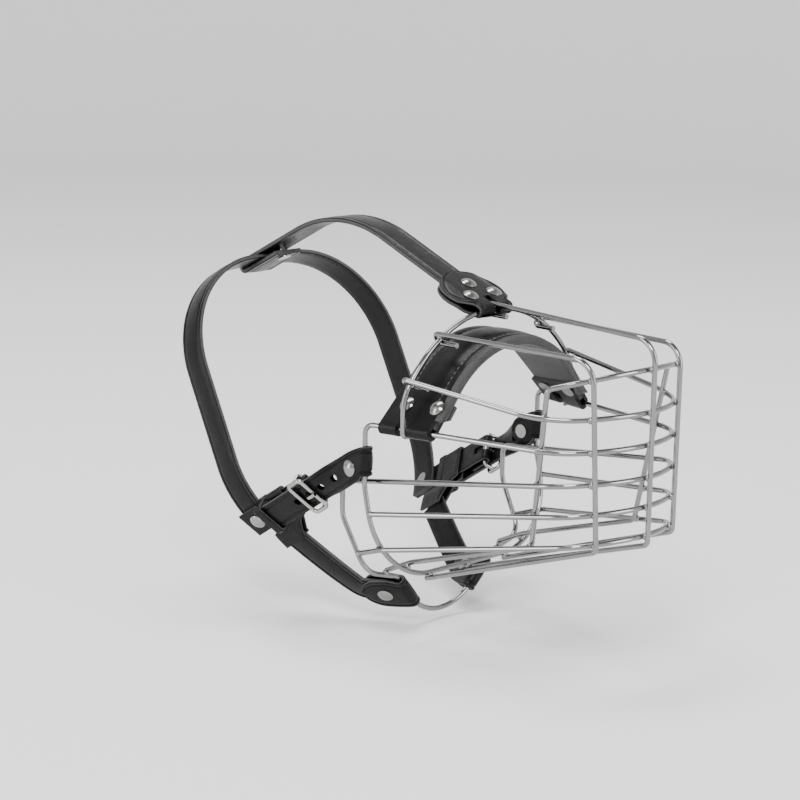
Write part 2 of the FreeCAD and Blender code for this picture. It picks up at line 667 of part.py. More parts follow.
# where the strap's rising run meets the line along which it lies on the neck strap
rise_angle = up_head.cross(neck_across)
meet_reach = (over_neck - head_start).cross(neck_across).dot(rise_angle) / rise_angle.dot(rise_angle)
head_bend = head_start + up_head * meet_reach
loop_end = STRAP_WIDTH / 2 + LOOP_SPARE
head_path = rounded_path([(head_start, 0.0), (head_bend, FOREHEAD_BEND),
                          (over_neck + neck_across * loop_end, 0.0)])
head_path += [Part.Arc(over_neck + neck_across * loop_end,
                       neck_crown + neck_across * (loop_end + loop_gap + STRAP / 2),
                       under_neck + neck_across * loop_end).toShape(),
              Part.LineSegment(under_neck + neck_across * loop_end,
                               under_neck + neck_across * (loop_end - FOREHEAD_RETURN)).toShape()]
forehead = band(head_path, STRAP, FOREHEAD_WIDTH, X_AXIS)

tab_depth = 2 * (GAP + LEATHER)
tab_rivets = []
for place_x, reach in TAB_RIVETS:
    place = crown + X_AXIS * place_x + up_head * reach + head_out * (tab_depth / 2)
    hole = shank_hole(place, head_out, tab_depth)
    tab = tab.cut(hole)
    forehead = forehead.cut(hole)
    tab_rivets.append(rivet(place, head_out, tab_depth))
nodes["top_tab_rivets"] = Part.makeCompound(tab_rivets)
nodes["top_tab"] = tab
head_rivet_depth = 2 * (loop_gap + STRAP)
head_rivet_seat = neck_crown - neck_across * (STRAP_WIDTH / 2 + LOOP_RIVET) + up_neck * (head_rivet_depth / 2)
forehead = forehead.cut(shank_hole(head_rivet_seat, up_neck, head_rivet_depth))
nodes["forehead_strap"] = forehead
nodes["forehead_loop_rivet"] = rivet(head_rivet_seat, up_neck, head_rivet_depth)


# ---- cheek straps and buckles, +X side ------------------------------------------------------------
def eased(share):
    """A smooth step from 0 to 1."""
    share = min(1.0, max(0.0, share))
    return share * share * (3 - 2 * share)


def along_strap(reach):
    """The cheek strap's centre, width direction and outward normal at a distance from the cheek frame."""
    ease = eased((reach - TWIST_START) / (twist_end - TWIST_START))
    start_x = CHEEK_X + GAP + STRAP / 2
    centre = V(start_x + (BUCKLE_X - start_x) * ease, CHEEK_Y, CHEEK_TAB_Z) + strap_line * reach
    angle = BUCKLE_TWIST * ease
    return centre, turned(strap_up, strap_line, angle), turned(X_AXIS, strap_line, angle)


twist_end = BUCKLE_REACH - TWIST_LEAD
reaches = [TWIST_START + (twist_end - TWIST_START) * step / TWIST_STEPS for step in range(TWIST_STEPS + 1)]
cheek_strap = fold(cheek_seat, Y_AXIS, Z_AXIS, CHEEK_FOLD, GAP, STRAP, CHEEK_FOLD_WIDTH)
cheek_strap = cheek_strap.fuse(ribbon([along_strap(reach) for reach in [1.0] + reaches], STRAP, STRAP_WIDTH))
cheek_strap = cheek_strap.fuse(plate(along_strap(twist_end)[0], strap_line, buckle_across,
                                     BUCKLE_REACH + STRAP_TIP - twist_end, STRAP_WIDTH, STRAP))
cheek_strap = cheek_strap.fuse(plate(cheek_seat - X_AXIS * (GAP + STRAP / 2), strap_line, strap_up,
                                     CHEEK_RETURN, STRAP_WIDTH, STRAP, back=-1.0))
for reach in HOLE_REACH:
    centre, _, out = along_strap(reach)
    cheek_strap = cheek_strap.cut(Part.makeCylinder(HOLE_RADIUS, 2 * STRAP, centre - out * STRAP, out))
cheek_depth = 2 * (GAP + STRAP)
cheek_rivet_seat = cheek_seat + strap_line * CHEEK_RIVET_REACH + X_AXIS * (cheek_depth / 2)
left = {
    "cheek_strap": cheek_strap.cut(shank_hole(cheek_rivet_seat, X_AXIS, cheek_depth)),
    "cheek_rivet": rivet(cheek_rivet_seat, X_AXIS, cheek_depth),
}

bar_height = STRAP / 2 + BUCKLE_WIRE / 2 + BUCKLE_LIFT
half_length = BUCKLE_LENGTH / 2
frame_corners = [(in_buckle(half_length, 0, bar_height), 0.0)]
for a, b in ((1, 1), (-1, 1), (-1, -1), (1, -1)):
    frame_corners.append((in_buckle(a * half_length, b * BUCKLE_SIDE, bar_height), BUCKLE_BEND))
frame_corners.append(frame_corners[0])
bar_corners = [(in_buckle(0, BUCKLE_SIDE, bar_height), 0.0),
               (in_buckle(0, BUCKLE_SIDE, -BAR_DEPTH), BAR_BEND),
               (in_buckle(0, -BUCKLE_SIDE, -BAR_DEPTH), BAR_BEND),
               (in_buckle(0, -BUCKLE_SIDE, bar_height), 0.0)]
bar = tube(rounded_path(bar_corners), BAR_WIRE)
left["buckle_frame"] = tube(rounded_path(frame_corners), BUCKLE_WIRE).fuse(bar)

prong_rest = bar_height + BUCKLE_WIRE / 2 + PRONG_WIRE / 2 + PRONG_REST
eye_radius = BAR_WIRE / 2 + PRONG_CLEARANCE
bar_point = in_buckle(0, 0, -BAR_DEPTH)
eye = Part.makeCylinder(eye_radius + PRONG_EYE_WALL, PRONG_WIDTH, bar_point - buckle_across * (PRONG_WIDTH / 2),
                        buckle_across)
tine = tube(rounded_path([(in_buckle(0, 0, -BAR_DEPTH + PRONG_ROOT), 0.0),
                          (in_buckle(-PRONG_LEAN, 0, prong_rest), PRONG_WIRE),
                          (in_buckle(-half_length - PRONG_TIP, 0, prong_rest), 0.0)]), PRONG_WIRE)
bore = Part.makeCylinder(eye_radius, 2 * PRONG_WIDTH, bar_point - buckle_across * PRONG_WIDTH, buckle_across)
left["buckle_prong"] = eye.fuse(tine).cut(bore)

# the back strap folds round the hidden bar, with a slot for the prong
back_length = NECK_REACH + STRAP_WIDTH / 2
back_high = in_buckle(0, 0, -BAR_DEPTH + back_lift)
back_low = in_buckle(0, 0, -BAR_DEPTH - back_lift)
back = band([Part.LineSegment(back_high + strap_line * BACK_RETURN, back_high).toShape(),
             Part.Arc(back_high, in_buckle(-back_lift, 0, -BAR_DEPTH), back_low).toShape(),
             Part.LineSegment(back_low, back_low + strap_line * back_length).toShape()],
            BACK_STRAP, STRAP_WIDTH, buckle_across)
axes = (strap_line, buckle_across, buckle_out)
back = back.cut(block(in_buckle(0, 0, -BAR_DEPTH), axes, PRONG_SLOT))
neck_rivet_depth = STRAP + BACK_STRAP + NECK_SEAM
neck_rivet_seat = in_buckle(NECK_REACH, 0, -BAR_DEPTH - back_lift + BACK_STRAP / 2)
neck_hole = shank_hole(neck_rivet_seat, buckle_out, neck_rivet_depth)
left["back_strap"] = back.cut(neck_hole)
left["neck_rivet"] = rivet(neck_rivet_seat, buckle_out, neck_rivet_depth)

stack_low = -BAR_DEPTH - back_lift - BACK_STRAP / 2
stack_high = STRAP / 2
left["keeper"] = sleeve(in_buckle(KEEPER_REACH, 0, (stack_low + stack_high) / 2), axes, KEEPER_LENGTH,
                        (STRAP_WIDTH + 2 * KEEPER_AIR, stack_high - stack_low + 2 * KEEPER_AIR), KEEPER_WALL)

# ---- throat straps --------------------------------------------------------------------------------
# the loop goes round the back strap alone, under the buckled strap
back_middle = -BAR_DEPTH - back_lift
loop_air = 2 * THROAT_LOOP_AIR
loop = sleeve(in_buckle(THROAT_LOOP_REACH, 0, back_middle), axes, THROAT_LOOP_LENGTH,
              (STRAP_WIDTH + loop_air, BACK_STRAP + loop_air), BACK_STRAP)
loop_thickness = 3 * BACK_STRAP + loop_air
outline = [in_buckle(a, b, back_middle - loop_thickness / 2) for a, b in THROAT_HANGER]
hanger = Part.Face(Part.makePolygon(outline + outline[:1])).extrude(buckle_out * loop_thickness)
left["throat_loop"] = loop.fuse(hanger)
leg = unit(THROAT_APEX - THROAT_STEP)
throat_seat = THROAT_STEP + leg * THROAT_TAB_REACH
throat_line = unit(V(*THROAT_TAB_LINE))
fold_line = unit(throat_line - leg * throat_line.dot(leg))
throat_out = unit(leg.cross(fold_line))
throat_across = unit(throat_line.cross(throat_out))
throat_tab = fold(throat_seat, fold_line, leg, THROAT_FOLD, GAP, LEATHER, THROAT_FOLD_WIDTH)
for side in (1, -1):
    throat_tab = throat_tab.fuse(plate(throat_seat + throat_out * (side * (GAP + LEATHER / 2)), throat_line,
                                       throat_across, THROAT_TAB_LENGTH, THROAT_FOLD_WIDTH, LEATHER, back=-2.0))
throat_depth = 2 * (GAP + LEATHER)
throat_rivet_seat = throat_seat + throat_line * THROAT_RIVET_REACH + throat_out * (throat_depth / 2)
throat_hole = shank_hole(throat_rivet_seat, throat_out, throat_depth)
left["throat_tab"] = throat_tab.cut(throat_hole)
left["throat_rivet"] = rivet(throat_rivet_seat, throat_out, throat_depth)

# the throat strap leaves the tab straight and curves up to the hanging piece as it turns
leave = throat_seat + throat_line * THROAT_TAB_LENGTH
bend = throat_seat + throat_line * THROAT_STRAP_BEND
throat_top = in_buckle(*THROAT_HANGER_FOOT, back_middle)
stations = [(throat_seat + throat_line * THROAT_STRAP_START, throat_across, throat_out)]
for step in range(TWIST_STEPS + 1):
    share = step / TWIST_STEPS
    centre = leave * (1 - share) ** 2 + bend * (2 * share * (1 - share)) + throat_top * share ** 2
    along = unit((bend - leave) * (1 - share) + (throat_top - bend) * share)
    turn = eased(share)
    out = throat_out * (1 - turn) + buckle_out * turn
    out = unit(out - along * out.dot(along))
    stations.append((centre, unit(along.cross(out)), out))
left["throat_strap"] = ribbon(stations, STRAP, STRAP_WIDTH).cut(throat_hole)
for name, shape in left.items():
    nodes["left_" + name] = shape

# ---- neck strap -----------------------------------------------------------------------------------
neck_stations = []
place = neck_foot
for step in range(NECK_STEPS + 1):
    share = step / NECK_STEPS
    across = unit(strap_line * (1 - share) + neck_across * share)
    out = turned(X_AXIS, across, BUCKLE_TWIST * (1 - share))
    neck_stations.append((place, across, out))
    place = place + unit(out.cross(across)) * NECK_STEP
neck_lower = ribbon(neck_stations, STRAP, STRAP_WIDTH)
lower_end = neck_stations[-1][0]
shoulder = V(lower_end.x, 0, 0) + V(0, neck_crown.y, neck_crown.z)
neck_arch = band(half_path([(lower_end, 0.0), (shoulder, NECK_TOP_RADIUS), (neck_crown, 0.0)]),
                 STRAP, STRAP_WIDTH, neck_across)
neck_half = neck_lower.fuse(neck_arch)
nodes["neck_strap"] = both_halves(neck_half.cut(neck_hole))

for name in [name for name in nodes if name.startswith("left_") and name != "left_long_wire"]:
    nodes[name.replace("left_", "right_", 1)] = mirror_x(nodes[name])

os.makedirs("parts", exist_ok=True)
for name, shape in nodes.items():
    print(name, len(shape.Solids), round(shape.Volume, 1), shape.isValid())
    shape.exportStep("parts/" + name + ".step")
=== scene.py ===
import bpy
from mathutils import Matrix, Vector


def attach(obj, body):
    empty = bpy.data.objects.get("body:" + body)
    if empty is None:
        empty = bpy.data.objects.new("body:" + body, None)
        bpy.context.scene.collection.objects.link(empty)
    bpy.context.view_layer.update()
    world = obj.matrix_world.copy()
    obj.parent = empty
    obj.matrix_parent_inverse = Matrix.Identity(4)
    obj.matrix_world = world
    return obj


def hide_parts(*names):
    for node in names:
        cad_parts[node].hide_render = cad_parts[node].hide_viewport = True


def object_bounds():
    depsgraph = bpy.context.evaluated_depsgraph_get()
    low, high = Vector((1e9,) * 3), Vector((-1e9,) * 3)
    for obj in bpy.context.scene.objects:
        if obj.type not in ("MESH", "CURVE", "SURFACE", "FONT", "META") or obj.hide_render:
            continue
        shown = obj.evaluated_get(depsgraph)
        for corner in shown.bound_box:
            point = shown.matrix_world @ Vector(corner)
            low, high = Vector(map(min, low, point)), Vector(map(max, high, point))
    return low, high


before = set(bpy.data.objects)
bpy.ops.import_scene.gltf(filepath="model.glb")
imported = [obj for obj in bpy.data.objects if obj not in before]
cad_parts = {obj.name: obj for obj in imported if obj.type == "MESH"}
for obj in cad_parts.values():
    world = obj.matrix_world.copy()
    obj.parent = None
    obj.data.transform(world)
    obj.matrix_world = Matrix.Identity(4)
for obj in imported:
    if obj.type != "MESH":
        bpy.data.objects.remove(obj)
FRAME_BOUNDS = [list(corner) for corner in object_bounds()]

import math

import bpy
from mathutils import Matrix, Vector

V = Vector
MM = 0.001
X = V((1, 0, 0))
Z = V((0, 0, 1))

# ---- sizes shared with the CAD model, in millimetres -------------------------------------------
LEATHER = 2.2                 # thickness of a folded layer
STRAP = 2.6                   # thickness of the straps that lie between two folded layers
BACK_STRAP = 1.8              # thickness of the strap folded round the buckle's hidden bar
STRAP_WIDTH = 16.0
FOREHEAD_WIDTH = 20.0
GAP = 1.5                     # half the space between a fold's two layers

CHEEK_X = 66.5                # the cheek frame's rear run, where the cheek straps fold on
CHEEK_Y = 27.5
CHEEK_TOP_Z = -39.5
CHEEK_FRONT_X = 44.1          # the cheek frame's front corner
CHEEK_FRONT_Z = -38.8
FRONT_APEX_Y = -116.4         # where the side wires' front tangents meet on the centre plane
FRONT_SLOPE = 0.7
CHEEK_SEAT = V((CHEEK_X, CHEEK_Y, -59.0))
CHEEK_FOLD_WIDTH = 15.2
CHEEK_RETURN = 16.0           # length of the strap's folded end, inside
HOLE_REACH = (21.5, 32.1, 42.65, 53.2)
HOLE_RADIUS = 2.0

STRAP_ANGLE = math.radians(-33.0)
BUCKLE_REACH = 43.1           # from the cheek frame along the strap to the buckle's middle
BUCKLE_X = 71.0
BUCKLE_TWIST = math.radians(37.0)
TWIST_START = 13.0
TWIST_LEAD = 9.0              # the turn ends this far ahead of the buckle's middle
STRAP_TIP = 41.5              # from the buckle's middle to the strap's tip
BAR_DEPTH = 4.6               # the hidden bar lies this far under the strap's middle
BACK_LIFT = 2.05              # from the bar's centre to the middle of the strap folded round it
BACK_MIDDLE = -BAR_DEPTH - BACK_LIFT
BACK_RETURN = 13              # length of the back strap's folded end
BACK_LENGTH = 60
PRONG_SLOT = V((15.0, 4.0, 12.0))
LINE = V((0, math.cos(STRAP_ANGLE), math.sin(STRAP_ANGLE)))
LINE_UP = V((0, -math.sin(STRAP_ANGLE), math.cos(STRAP_ANGLE)))

KEEPER_REACH = 36.0
KEEPER_LENGTH = 5.0
KEEPER_WALL = 1.8
KEEPER_AIR = 0.35
KEEPER_CORNER = 1.6
LOOP_FRONT = 20.0             # the throat loop's ends, along the strap from the buckle
LOOP_REAR = 33.0
LOOP_AIR = 0.1

THROAT_STEP = V((36, 33, -128))
THROAT_APEX = V((0, 35, -169))
THROAT_TAB_REACH = 13.0       # along the throat frame's leg, from its bend to the middle of the tab
THROAT_TAB_LINE = V((0.42, 0.90, -0.05))
THROAT_TAB_LENGTH = 24
THROAT_FOLD_WIDTH = 20.0
THROAT_STRAP_START = 9        # inside the tab
THROAT_STRAP_BEND = 28.0      # the strap's curve turns about this point ahead of the wire
HANGER_FOOT = (42.0, -20.3)   # where the throat strap's upper end lies in the hanging piece

CROWN = V((0, 2.0, 16.5))     # top of the arch over the nose bridge
HEAD_ANGLE = math.radians(22.0)
FOREHEAD_START = 12.0
FOREHEAD_BEND = 80.0
FOREHEAD_RETURN = 28          # length of its end, folded back under the neck strap
FOREHEAD_AIR = 0.2
FOREHEAD_SPARE = 1.0
NECK_ANGLE = math.radians(62.0)
NECK_REACH = 52.0             # from the buckle's middle to the neck strap's lower end
NECK_SEAM = 0.05
NECK_RISE = 150.0
NECK_TOP_RADIUS = 58.0
NECK_STEPS = 8
NECK_STEP = 5.0
TAB_CENTRE = 16.0             # along the strap from the arch to the middle of the top tab
TAB_HALF_LENGTH = 17.5
TAB_WIDTH = 39.0
TAB_NECK = 24.0               # width of the top tab where it folds round the arch

PAD_RADIUS = 53.4             # inside radius of the pad over the nose bridge
LINING = 2.9
PAD_FRONT = -16.0
PAD_REAR = 17.0
PAD_RETURN = 18.0             # how far the cover's folded ends come back up inside
PAD_NOTCH_Y = (0.2, 6.6)      # gap in each folded end for the arch's leg
PAD_TAIL_FRONT_Y = -12.5
PAD_NOTCH_TOP = -33.0
PAD_NOTCH_SIZE = 40.0
PAD_NOTCH_X = 45.0

# ---- finer sizes of the leather work -----------------------------------------------------------
CREASE = 2.3                  # from a strap's edge to the line pressed along it
FOREHEAD_CREASE = 3.0
TAB_CREASE = 2.4
CREASE_DEPTH = 0.42
CREASE_ROOM = 1.5             # a strap narrower than this beside its lines has none
# points of a pressed line, as (across the line, share of its depth)
CREASE_FLANKS = ((0.65, 0.0), (0.2, 1.0), (-0.2, 1.0), (-0.65, 0.0))
CREASE_REACH = 1.6            # the domed middle starts this far inside the line
CROWN_RISE = 0.18             # height of the domed middle between two lines
PLAIN_LINE = 0.8              # where the points of a line lie on a strap without one
PLAIN_FLANK = 0.1
DOME_SHARES = (1.0, 0.85, 0.7, 0.5, 0.25)
BACK_SHARES = (1.0, 0.7, 0.35)
EDGE_CORNER = 0.55            # rounding of a cut edge
EDGE_CORNER_LIMIT = 0.4       # at most this share of half the width
ARC_INSET = 0.3               # a quarter arc's middle lies this share of its radius inside both sides
TIP_SPARE = 0.4               # a rounded end's circle closes this far past its last station
TIP_LEAST = 1.6               # width of the very tip
TIP_LEFT = 0.05               # the last station is at least this far from a strap's tip
FINE_STEP = 0.5
TIP_STEP = 0.45
TIP_STRETCH = 9.0             # a strap's last stretch, which has finer steps
FOLD_STEPS = 16
LOOP_FOLD_STEPS = 12
STRAP_SMOOTH = 0.9            # edges sharper than these angles, in radians, stay sharp
PIECE_SMOOTH = 0.7
METAL_SMOOTH = 0.8
DRILL_SIDES = 32
DRILL_LENGTH = 8.0


def turned(vector, axis, angle):
    return Matrix.Rotation(angle, 3, axis) @ vector


BUCKLE_OUT = turned(X, LINE, BUCKLE_TWIST)
BUCKLE_UP = turned(LINE_UP, LINE, BUCKLE_TWIST)
BUCKLE = V((BUCKLE_X, CHEEK_SEAT.y, CHEEK_SEAT.z)) + LINE * BUCKLE_REACH


def in_buckle(along, across, out):
    return BUCKLE + LINE * along + BUCKLE_UP * across + BUCKLE_OUT * out


# ---- materials ---------------------------------------------------------------------------------
# pattern scales are per metre, and the depths of their relief are in metres
TONE_SCALE = 70.0             # slow changes of tone in the leather
WEAR_SCALE = 160.0            # patches of more and less gloss
RUB_SCALE = 240.0             # patches along the edges where the black is rubbed off
WRINKLE_SCALE = 260.0
WRINKLE_DEPTH = 0.0004
GRAIN_SCALE = 1150.0
GRAIN_DEPTH = 0.00018
RUBBED = (0.035, 0.034, 0.033, 1.0)
LEATHER_SPECULAR = 0.16
EDGE_FIBRE_SCALE = 1400.0
EDGE_FIBRE_DEPTH = 0.0003
FELT_FIBRE_SCALE = 1900.0
FELT_FIBRE_DEPTH = 0.0006
METAL_TONE_SCALE = 45.0
METAL_SHADE = 0.90            # the darker tone of the plating, against the lighter one
SMEAR_SCALE = 120.0
SCRATCH_SCALE = 900.0
SCRATCH_DEPTH = 0.00006
TWIST_SCALE = 2600.0          # the thread's twist
TWIST_DEPTH = 0.0002


def new_material(name, metallic=0.0, roughness=0.5):
    made = bpy.data.materials.new(name)
    made.use_nodes = True
    tree = made.node_tree
    shader = tree.nodes["Principled BSDF"]
    shader.inputs["Metallic"].default_value = metallic
    shader.inputs["Roughness"].default_value = roughness
    return made, tree, shader


def noise(tree, scale, detail=4.0, roughness=0.6):
    place = tree.nodes.new("ShaderNodeTexCoord")
    made = tree.nodes.new("ShaderNodeTexNoise")
    made.inputs["Scale"].default_value = scale
    made.inputs["Detail"].default_value = detail
    made.inputs["Roughness"].default_value = roughness
    tree.links.new(place.outputs["Object"], made.inputs["Vector"])
    return made.outputs["Fac"]


def cells(tree, scale):
    place = tree.nodes.new("ShaderNodeTexCoord")
    made = tree.nodes.new("ShaderNodeTexVoronoi")
    made.feature = "SMOOTH_F1"
    made.inputs["Scale"].default_value = scale
    tree.links.new(place.outputs["Object"], made.inputs["Vector"])
    return made.outputs["Distance"]


def ramp(tree, source, stops):
    made = tree.nodes.new("ShaderNodeValToRGB")
    table = made.color_ramp.elements
    while len(table) < len(stops):
        table.new(0.5)
    for element, (position, value) in zip(table, stops):
        element.position = position
        colour = value if isinstance(value, tuple) else (value, value, value)
        element.color = (*colour, 1.0)
    tree.links.new(source, made.inputs["Fac"])
    return made.outputs["Color"]


def bump(tree, shader, height, strength, distance, before=None):
    made = tree.nodes.new("ShaderNodeBump")
    made.inputs["Strength"].default_value = strength
    made.inputs["Distance"].default_value = distance
    tree.links.new(height, made.inputs["Height"])
    if before:
        tree.links.new(before, made.inputs["Normal"])
    tree.links.new(made.outputs["Normal"], shader.inputs["Normal"])
    return made.outputs["Normal"]


def leather(name, dark, light, rough_low, rough_high, grain):
    """Black leather with a fine grain, slow changes of tone and rubbed, lighter edges."""
    made, tree, shader = new_material(name)
    tone = ramp(tree, noise(tree, TONE_SCALE, 5.0), [(0.3, dark), (0.72, light)])
    geometry = tree.nodes.new("ShaderNodeNewGeometry")
    edges = ramp(tree, geometry.outputs["Pointiness"], [(0.52, 0.0), (0.62, 1.0)])
    patches = ramp(tree, noise(tree, RUB_SCALE, 6.0, 0.7), [(0.45, 0.0), (0.65, 0.8)])
    rubbed = tree.nodes.new("ShaderNodeMath")
    rubbed.operation = "MULTIPLY"
    tree.links.new(edges, rubbed.inputs[0])
    tree.links.new(patches, rubbed.inputs[1])
    mix = tree.nodes.new("ShaderNodeMix")
    mix.data_type = "RGBA"
    mix.inputs["B"].default_value = RUBBED
    tree.links.new(rubbed.outputs["Value"], mix.inputs["Factor"])
    tree.links.new(tone, mix.inputs["A"])
    tree.links.new(mix.outputs["Result"], shader.inputs["Base Color"])
    wear = noise(tree, WEAR_SCALE, 6.0, 0.7)
    tree.links.new(ramp(tree, wear, [(0.35, rough_low), (0.7, rough_high)]), shader.inputs["Roughness"])
    shader.inputs["Specular IOR Level"].default_value = LEATHER_SPECULAR
    first = bump(tree, shader, cells(tree, GRAIN_SCALE), grain, GRAIN_DEPTH)
    bump(tree, shader, noise(tree, WRINKLE_SCALE, 8.0, 0.65), 0.35, WRINKLE_DEPTH, first)
    return made


BLACK = leather("black_leather", (0.0015, 0.0015, 0.0017), (0.0045, 0.0045, 0.005), 0.26, 0.40, 0.30)
SOFT_BLACK = leather("soft_black_leather", (0.0018, 0.0018, 0.002), (0.005, 0.005, 0.0055), 0.28, 0.44, 0.45)


def raw_edge():
    made, tree, shader = new_material("raw_leather_edge", roughness=0.85)
    fibre = noise(tree, EDGE_FIBRE_SCALE, 6.0, 0.7)
    tree.links.new(ramp(tree, fibre, [(0.3, (0.020, 0.020, 0.021)), (0.75, (0.075, 0.074, 0.074))]),
                   shader.inputs["Base Color"])
    bump(tree, shader, fibre, 0.6, EDGE_FIBRE_DEPTH)
    return made


EDGE = raw_edge()


def felt():
    made, tree, shader = new_material("lining_felt", roughness=0.95)
    fibre = noise(tree, FELT_FIBRE_SCALE, 8.0, 0.75)
    tree.links.new(ramp(tree, fibre, [(0.3, (0.006, 0.006, 0.007)), (0.75, (0.022, 0.022, 0.024))]),
                   shader.inputs["Base Color"])
    shader.inputs["Sheen Weight"].default_value = 0.25
    shader.inputs["Sheen Roughness"].default_value = 0.5
    bump(tree, shader, fibre, 0.9, FELT_FIBRE_DEPTH)
    return made


FELT = felt()


def metal(name, colour, rough_low, rough_high, scratch):
    made, tree, shader = new_material(name, metallic=1.0)
    tone = noise(tree, METAL_TONE_SCALE)
    shade = tuple(METAL_SHADE * value for value in colour)
    tree.links.new(ramp(tree, tone, [(0.3, shade), (0.7, colour)]), shader.inputs["Base Color"])
    smear = noise(tree, SMEAR_SCALE, 6.0, 0.7)
    tree.links.new(ramp(tree, smear, [(0.35, rough_low), (0.75, rough_high)]), shader.inputs["Roughness"])
    bump(tree, shader, noise(tree, SCRATCH_SCALE, 5.0), scratch, SCRATCH_DEPTH)
    return made


# the three base colours lie well below bare chrome and nickel: painted shade standing in for the dark
# surroundings that the plating reflects, so the metal shows dark cores between bright streaks
CHROME = metal("chromed_wire", (0.25, 0.25, 0.255), 0.06, 0.15, 0.25)
NICKEL = metal("buckle_nickel", (0.38, 0.375, 0.36), 0.07, 0.16, 0.25)
RIVET = metal("rivet_nickel", (0.30, 0.295, 0.285), 0.14, 0.30, 0.5)


def thread():
    made, tree, shader = new_material("waxed_thread", roughness=0.6)
    twist = noise(tree, TWIST_SCALE, 3.0, 0.5)
    tree.links.new(ramp(tree, twist, [(0.35, (0.030, 0.030, 0.032)), (0.7, (0.11, 0.11, 0.115))]),
                   shader.inputs["Base Color"])
    bump(tree, shader, twist, 0.5, TWIST_DEPTH)
    return made


THREAD = thread()


# ---- mesh helpers ------------------------------------------------------------------------------
def new_object(name, verts, faces, materials, indices=None, smooth_angle=PIECE_SMOOTH):
    mesh = bpy.data.meshes.new(name)
    mesh.from_pydata([tuple(v * MM) for v in verts], [], faces)
    for entry in materials:
        mesh.materials.append(entry)
    if indices:
        mesh.polygons.foreach_set("material_index", indices)
    mesh.update()
    mesh.polygons.foreach_set("use_smooth", [True] * len(mesh.polygons))
    mesh.set_sharp_from_angle(angle=smooth_angle)
    made = bpy.data.objects.new(name, mesh)
    bpy.context.scene.collection.objects.link(made)
    return made


def apply_modifiers(thing):
    graph = bpy.context.evaluated_depsgraph_get()
    mesh = bpy.data.meshes.new_from_object(thing.evaluated_get(graph))
    thing.modifiers.clear()
    thing.data = mesh
    mesh.polygons.foreach_set("use_smooth", [True] * len(mesh.polygons))
    mesh.set_sharp_from_angle(angle=PIECE_SMOOTH)


def cut(thing, cutters):
    """Cuts closed shapes out of a piece."""
    for cutter in cutters:
        change = thing.modifiers.new("cut", "BOOLEAN")
        change.operation = "DIFFERENCE"
        change.solver = "EXACT"
        change.object = cutter
    apply_modifiers(thing)
    for cutter in cutters:
        bpy.data.objects.remove(cutter)


def drill(centre, direction, radius):
    """A cylinder to cut with."""
    side = direction.orthogonal().normalized()
    other = direction.cross(side)
    verts, faces = [], []
    for end in (-0.5, 0.5):
        for step in range(DRILL_SIDES):
            angle = 2 * math.pi * step / DRILL_SIDES
            verts.append(centre + direction * (end * DRILL_LENGTH) + side * (radius * math.cos(angle))
                         + other * (radius * math.sin(angle)))
    for step in range(DRILL_SIDES):
        nxt = (step + 1) % DRILL_SIDES
        faces.append((step, nxt, DRILL_SIDES + nxt, DRILL_SIDES + step))
    faces.append(tuple(range(DRILL_SIDES))[::-1])
    faces.append(tuple(range(DRILL_SIDES, 2 * DRILL_SIDES)))
    return new_object("cutter", verts, faces, [BLACK])


def box_cutter(low, high):
    verts = [V((x, y, z)) for x in (low[0], high[0]) for y in (low[1], high[1]) for z in (low[2], high[2])]
    faces = [(0, 1, 3, 2), (4, 6, 7, 5), (0, 4, 5, 1), (2, 3, 7, 6), (0, 2, 6, 4), (1, 5, 7, 3)]
    return new_object("cutter", verts, faces, [BLACK])


def strap_section(width, thickness, crease):
    """Closed outline of a strap's section as (across, out, is_edge), with pressed lines near both edges."""
    half = width / 2
    top = thickness / 2
    corner = min(EDGE_CORNER, half * EDGE_CORNER_LIMIT)
    pressed = crease and half > crease + CREASE_ROOM
    line = half - crease if pressed else half * PLAIN_LINE
    sink = CREASE_DEPTH if pressed else 0.0
    crown = CROWN_RISE if pressed else 0.0
    flank = 1.0 if pressed else PLAIN_FLANK
    inner = line - CREASE_REACH * flank
    rounding = [(half, top - corner, True), (half - ARC_INSET * corner, top - ARC_INSET * corner, False),
                (half - corner, top, False)]
    groove = [(line + place * flank, top - sink * depth, False) for place, depth in CREASE_FLANKS]
    dome = [(inner * share, top + crown * (1 - share * share), False) for share in DOME_SHARES]
    side = [(half, 0.0, True)] + rounding + groove + dome
    upper = [(-a, b, edge) for a, b, edge in side] + [(0.0, top + crown, False)] + side[::-1]
    low = rounding + [(inner * share, top, False) for share in BACK_SHARES]
    lower = [(a, -b, edge) for a, b, edge in low] + [(0.0, -top, False)]
    return upper + lower + [(-a, -b, edge) for a, b, edge in low[::-1]]


def strap(name, stations, thickness, crease=CREASE, closed=False):
    """A leather strap through (centre, across, out, width) stations, with raw cut edges."""
    verts, faces, indices = [], [], []
    for centre, across, out, width in stations:
        section = strap_section(width, thickness, crease)
        verts += [centre + across * a + out * b for a, b, _ in section]
    on_edge = [point[2] for point in section]
    count = len(section)
    rings = len(stations)
    for ring in range(rings if closed else rings - 1):
        here = ring * count
        there = (ring + 1) % rings * count
        for k in range(count):
            nxt = (k + 1) % count
            faces.append((here + k, here + nxt, there + nxt, there + k))
            indices.append(1 if on_edge[k] and on_edge[nxt] else 0)
    if not closed:
        faces.append(tuple(range(count))[::-1])
        faces.append(tuple(range((rings - 1) * count, rings * count)))
        indices += [1, 1]
    return new_object(name, verts, faces, [BLACK, EDGE], indices, STRAP_SMOOTH)


def mirrored_copy(thing, name):
    mesh = thing.data.copy()
    mesh.transform(Matrix.Scale(-1, 4, X))
    mesh.flip_normals()
    made = bpy.data.objects.new(name, mesh)
    bpy.context.scene.collection.objects.link(made)
    return made


def both_sides(thing, node, body="muzzle"):
    """The +X piece and its mirror image, each in place of its own CAD node."""
    twin = mirrored_copy(thing, "right_" + thing.name.removeprefix("left_"))
    for side, piece in (("left", thing), ("right", twin)):
        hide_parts(side + "_" + node)
        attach(piece, side + body if body.startswith("_") else body)


def lerp(a, b, share):
    return a + (b - a) * share


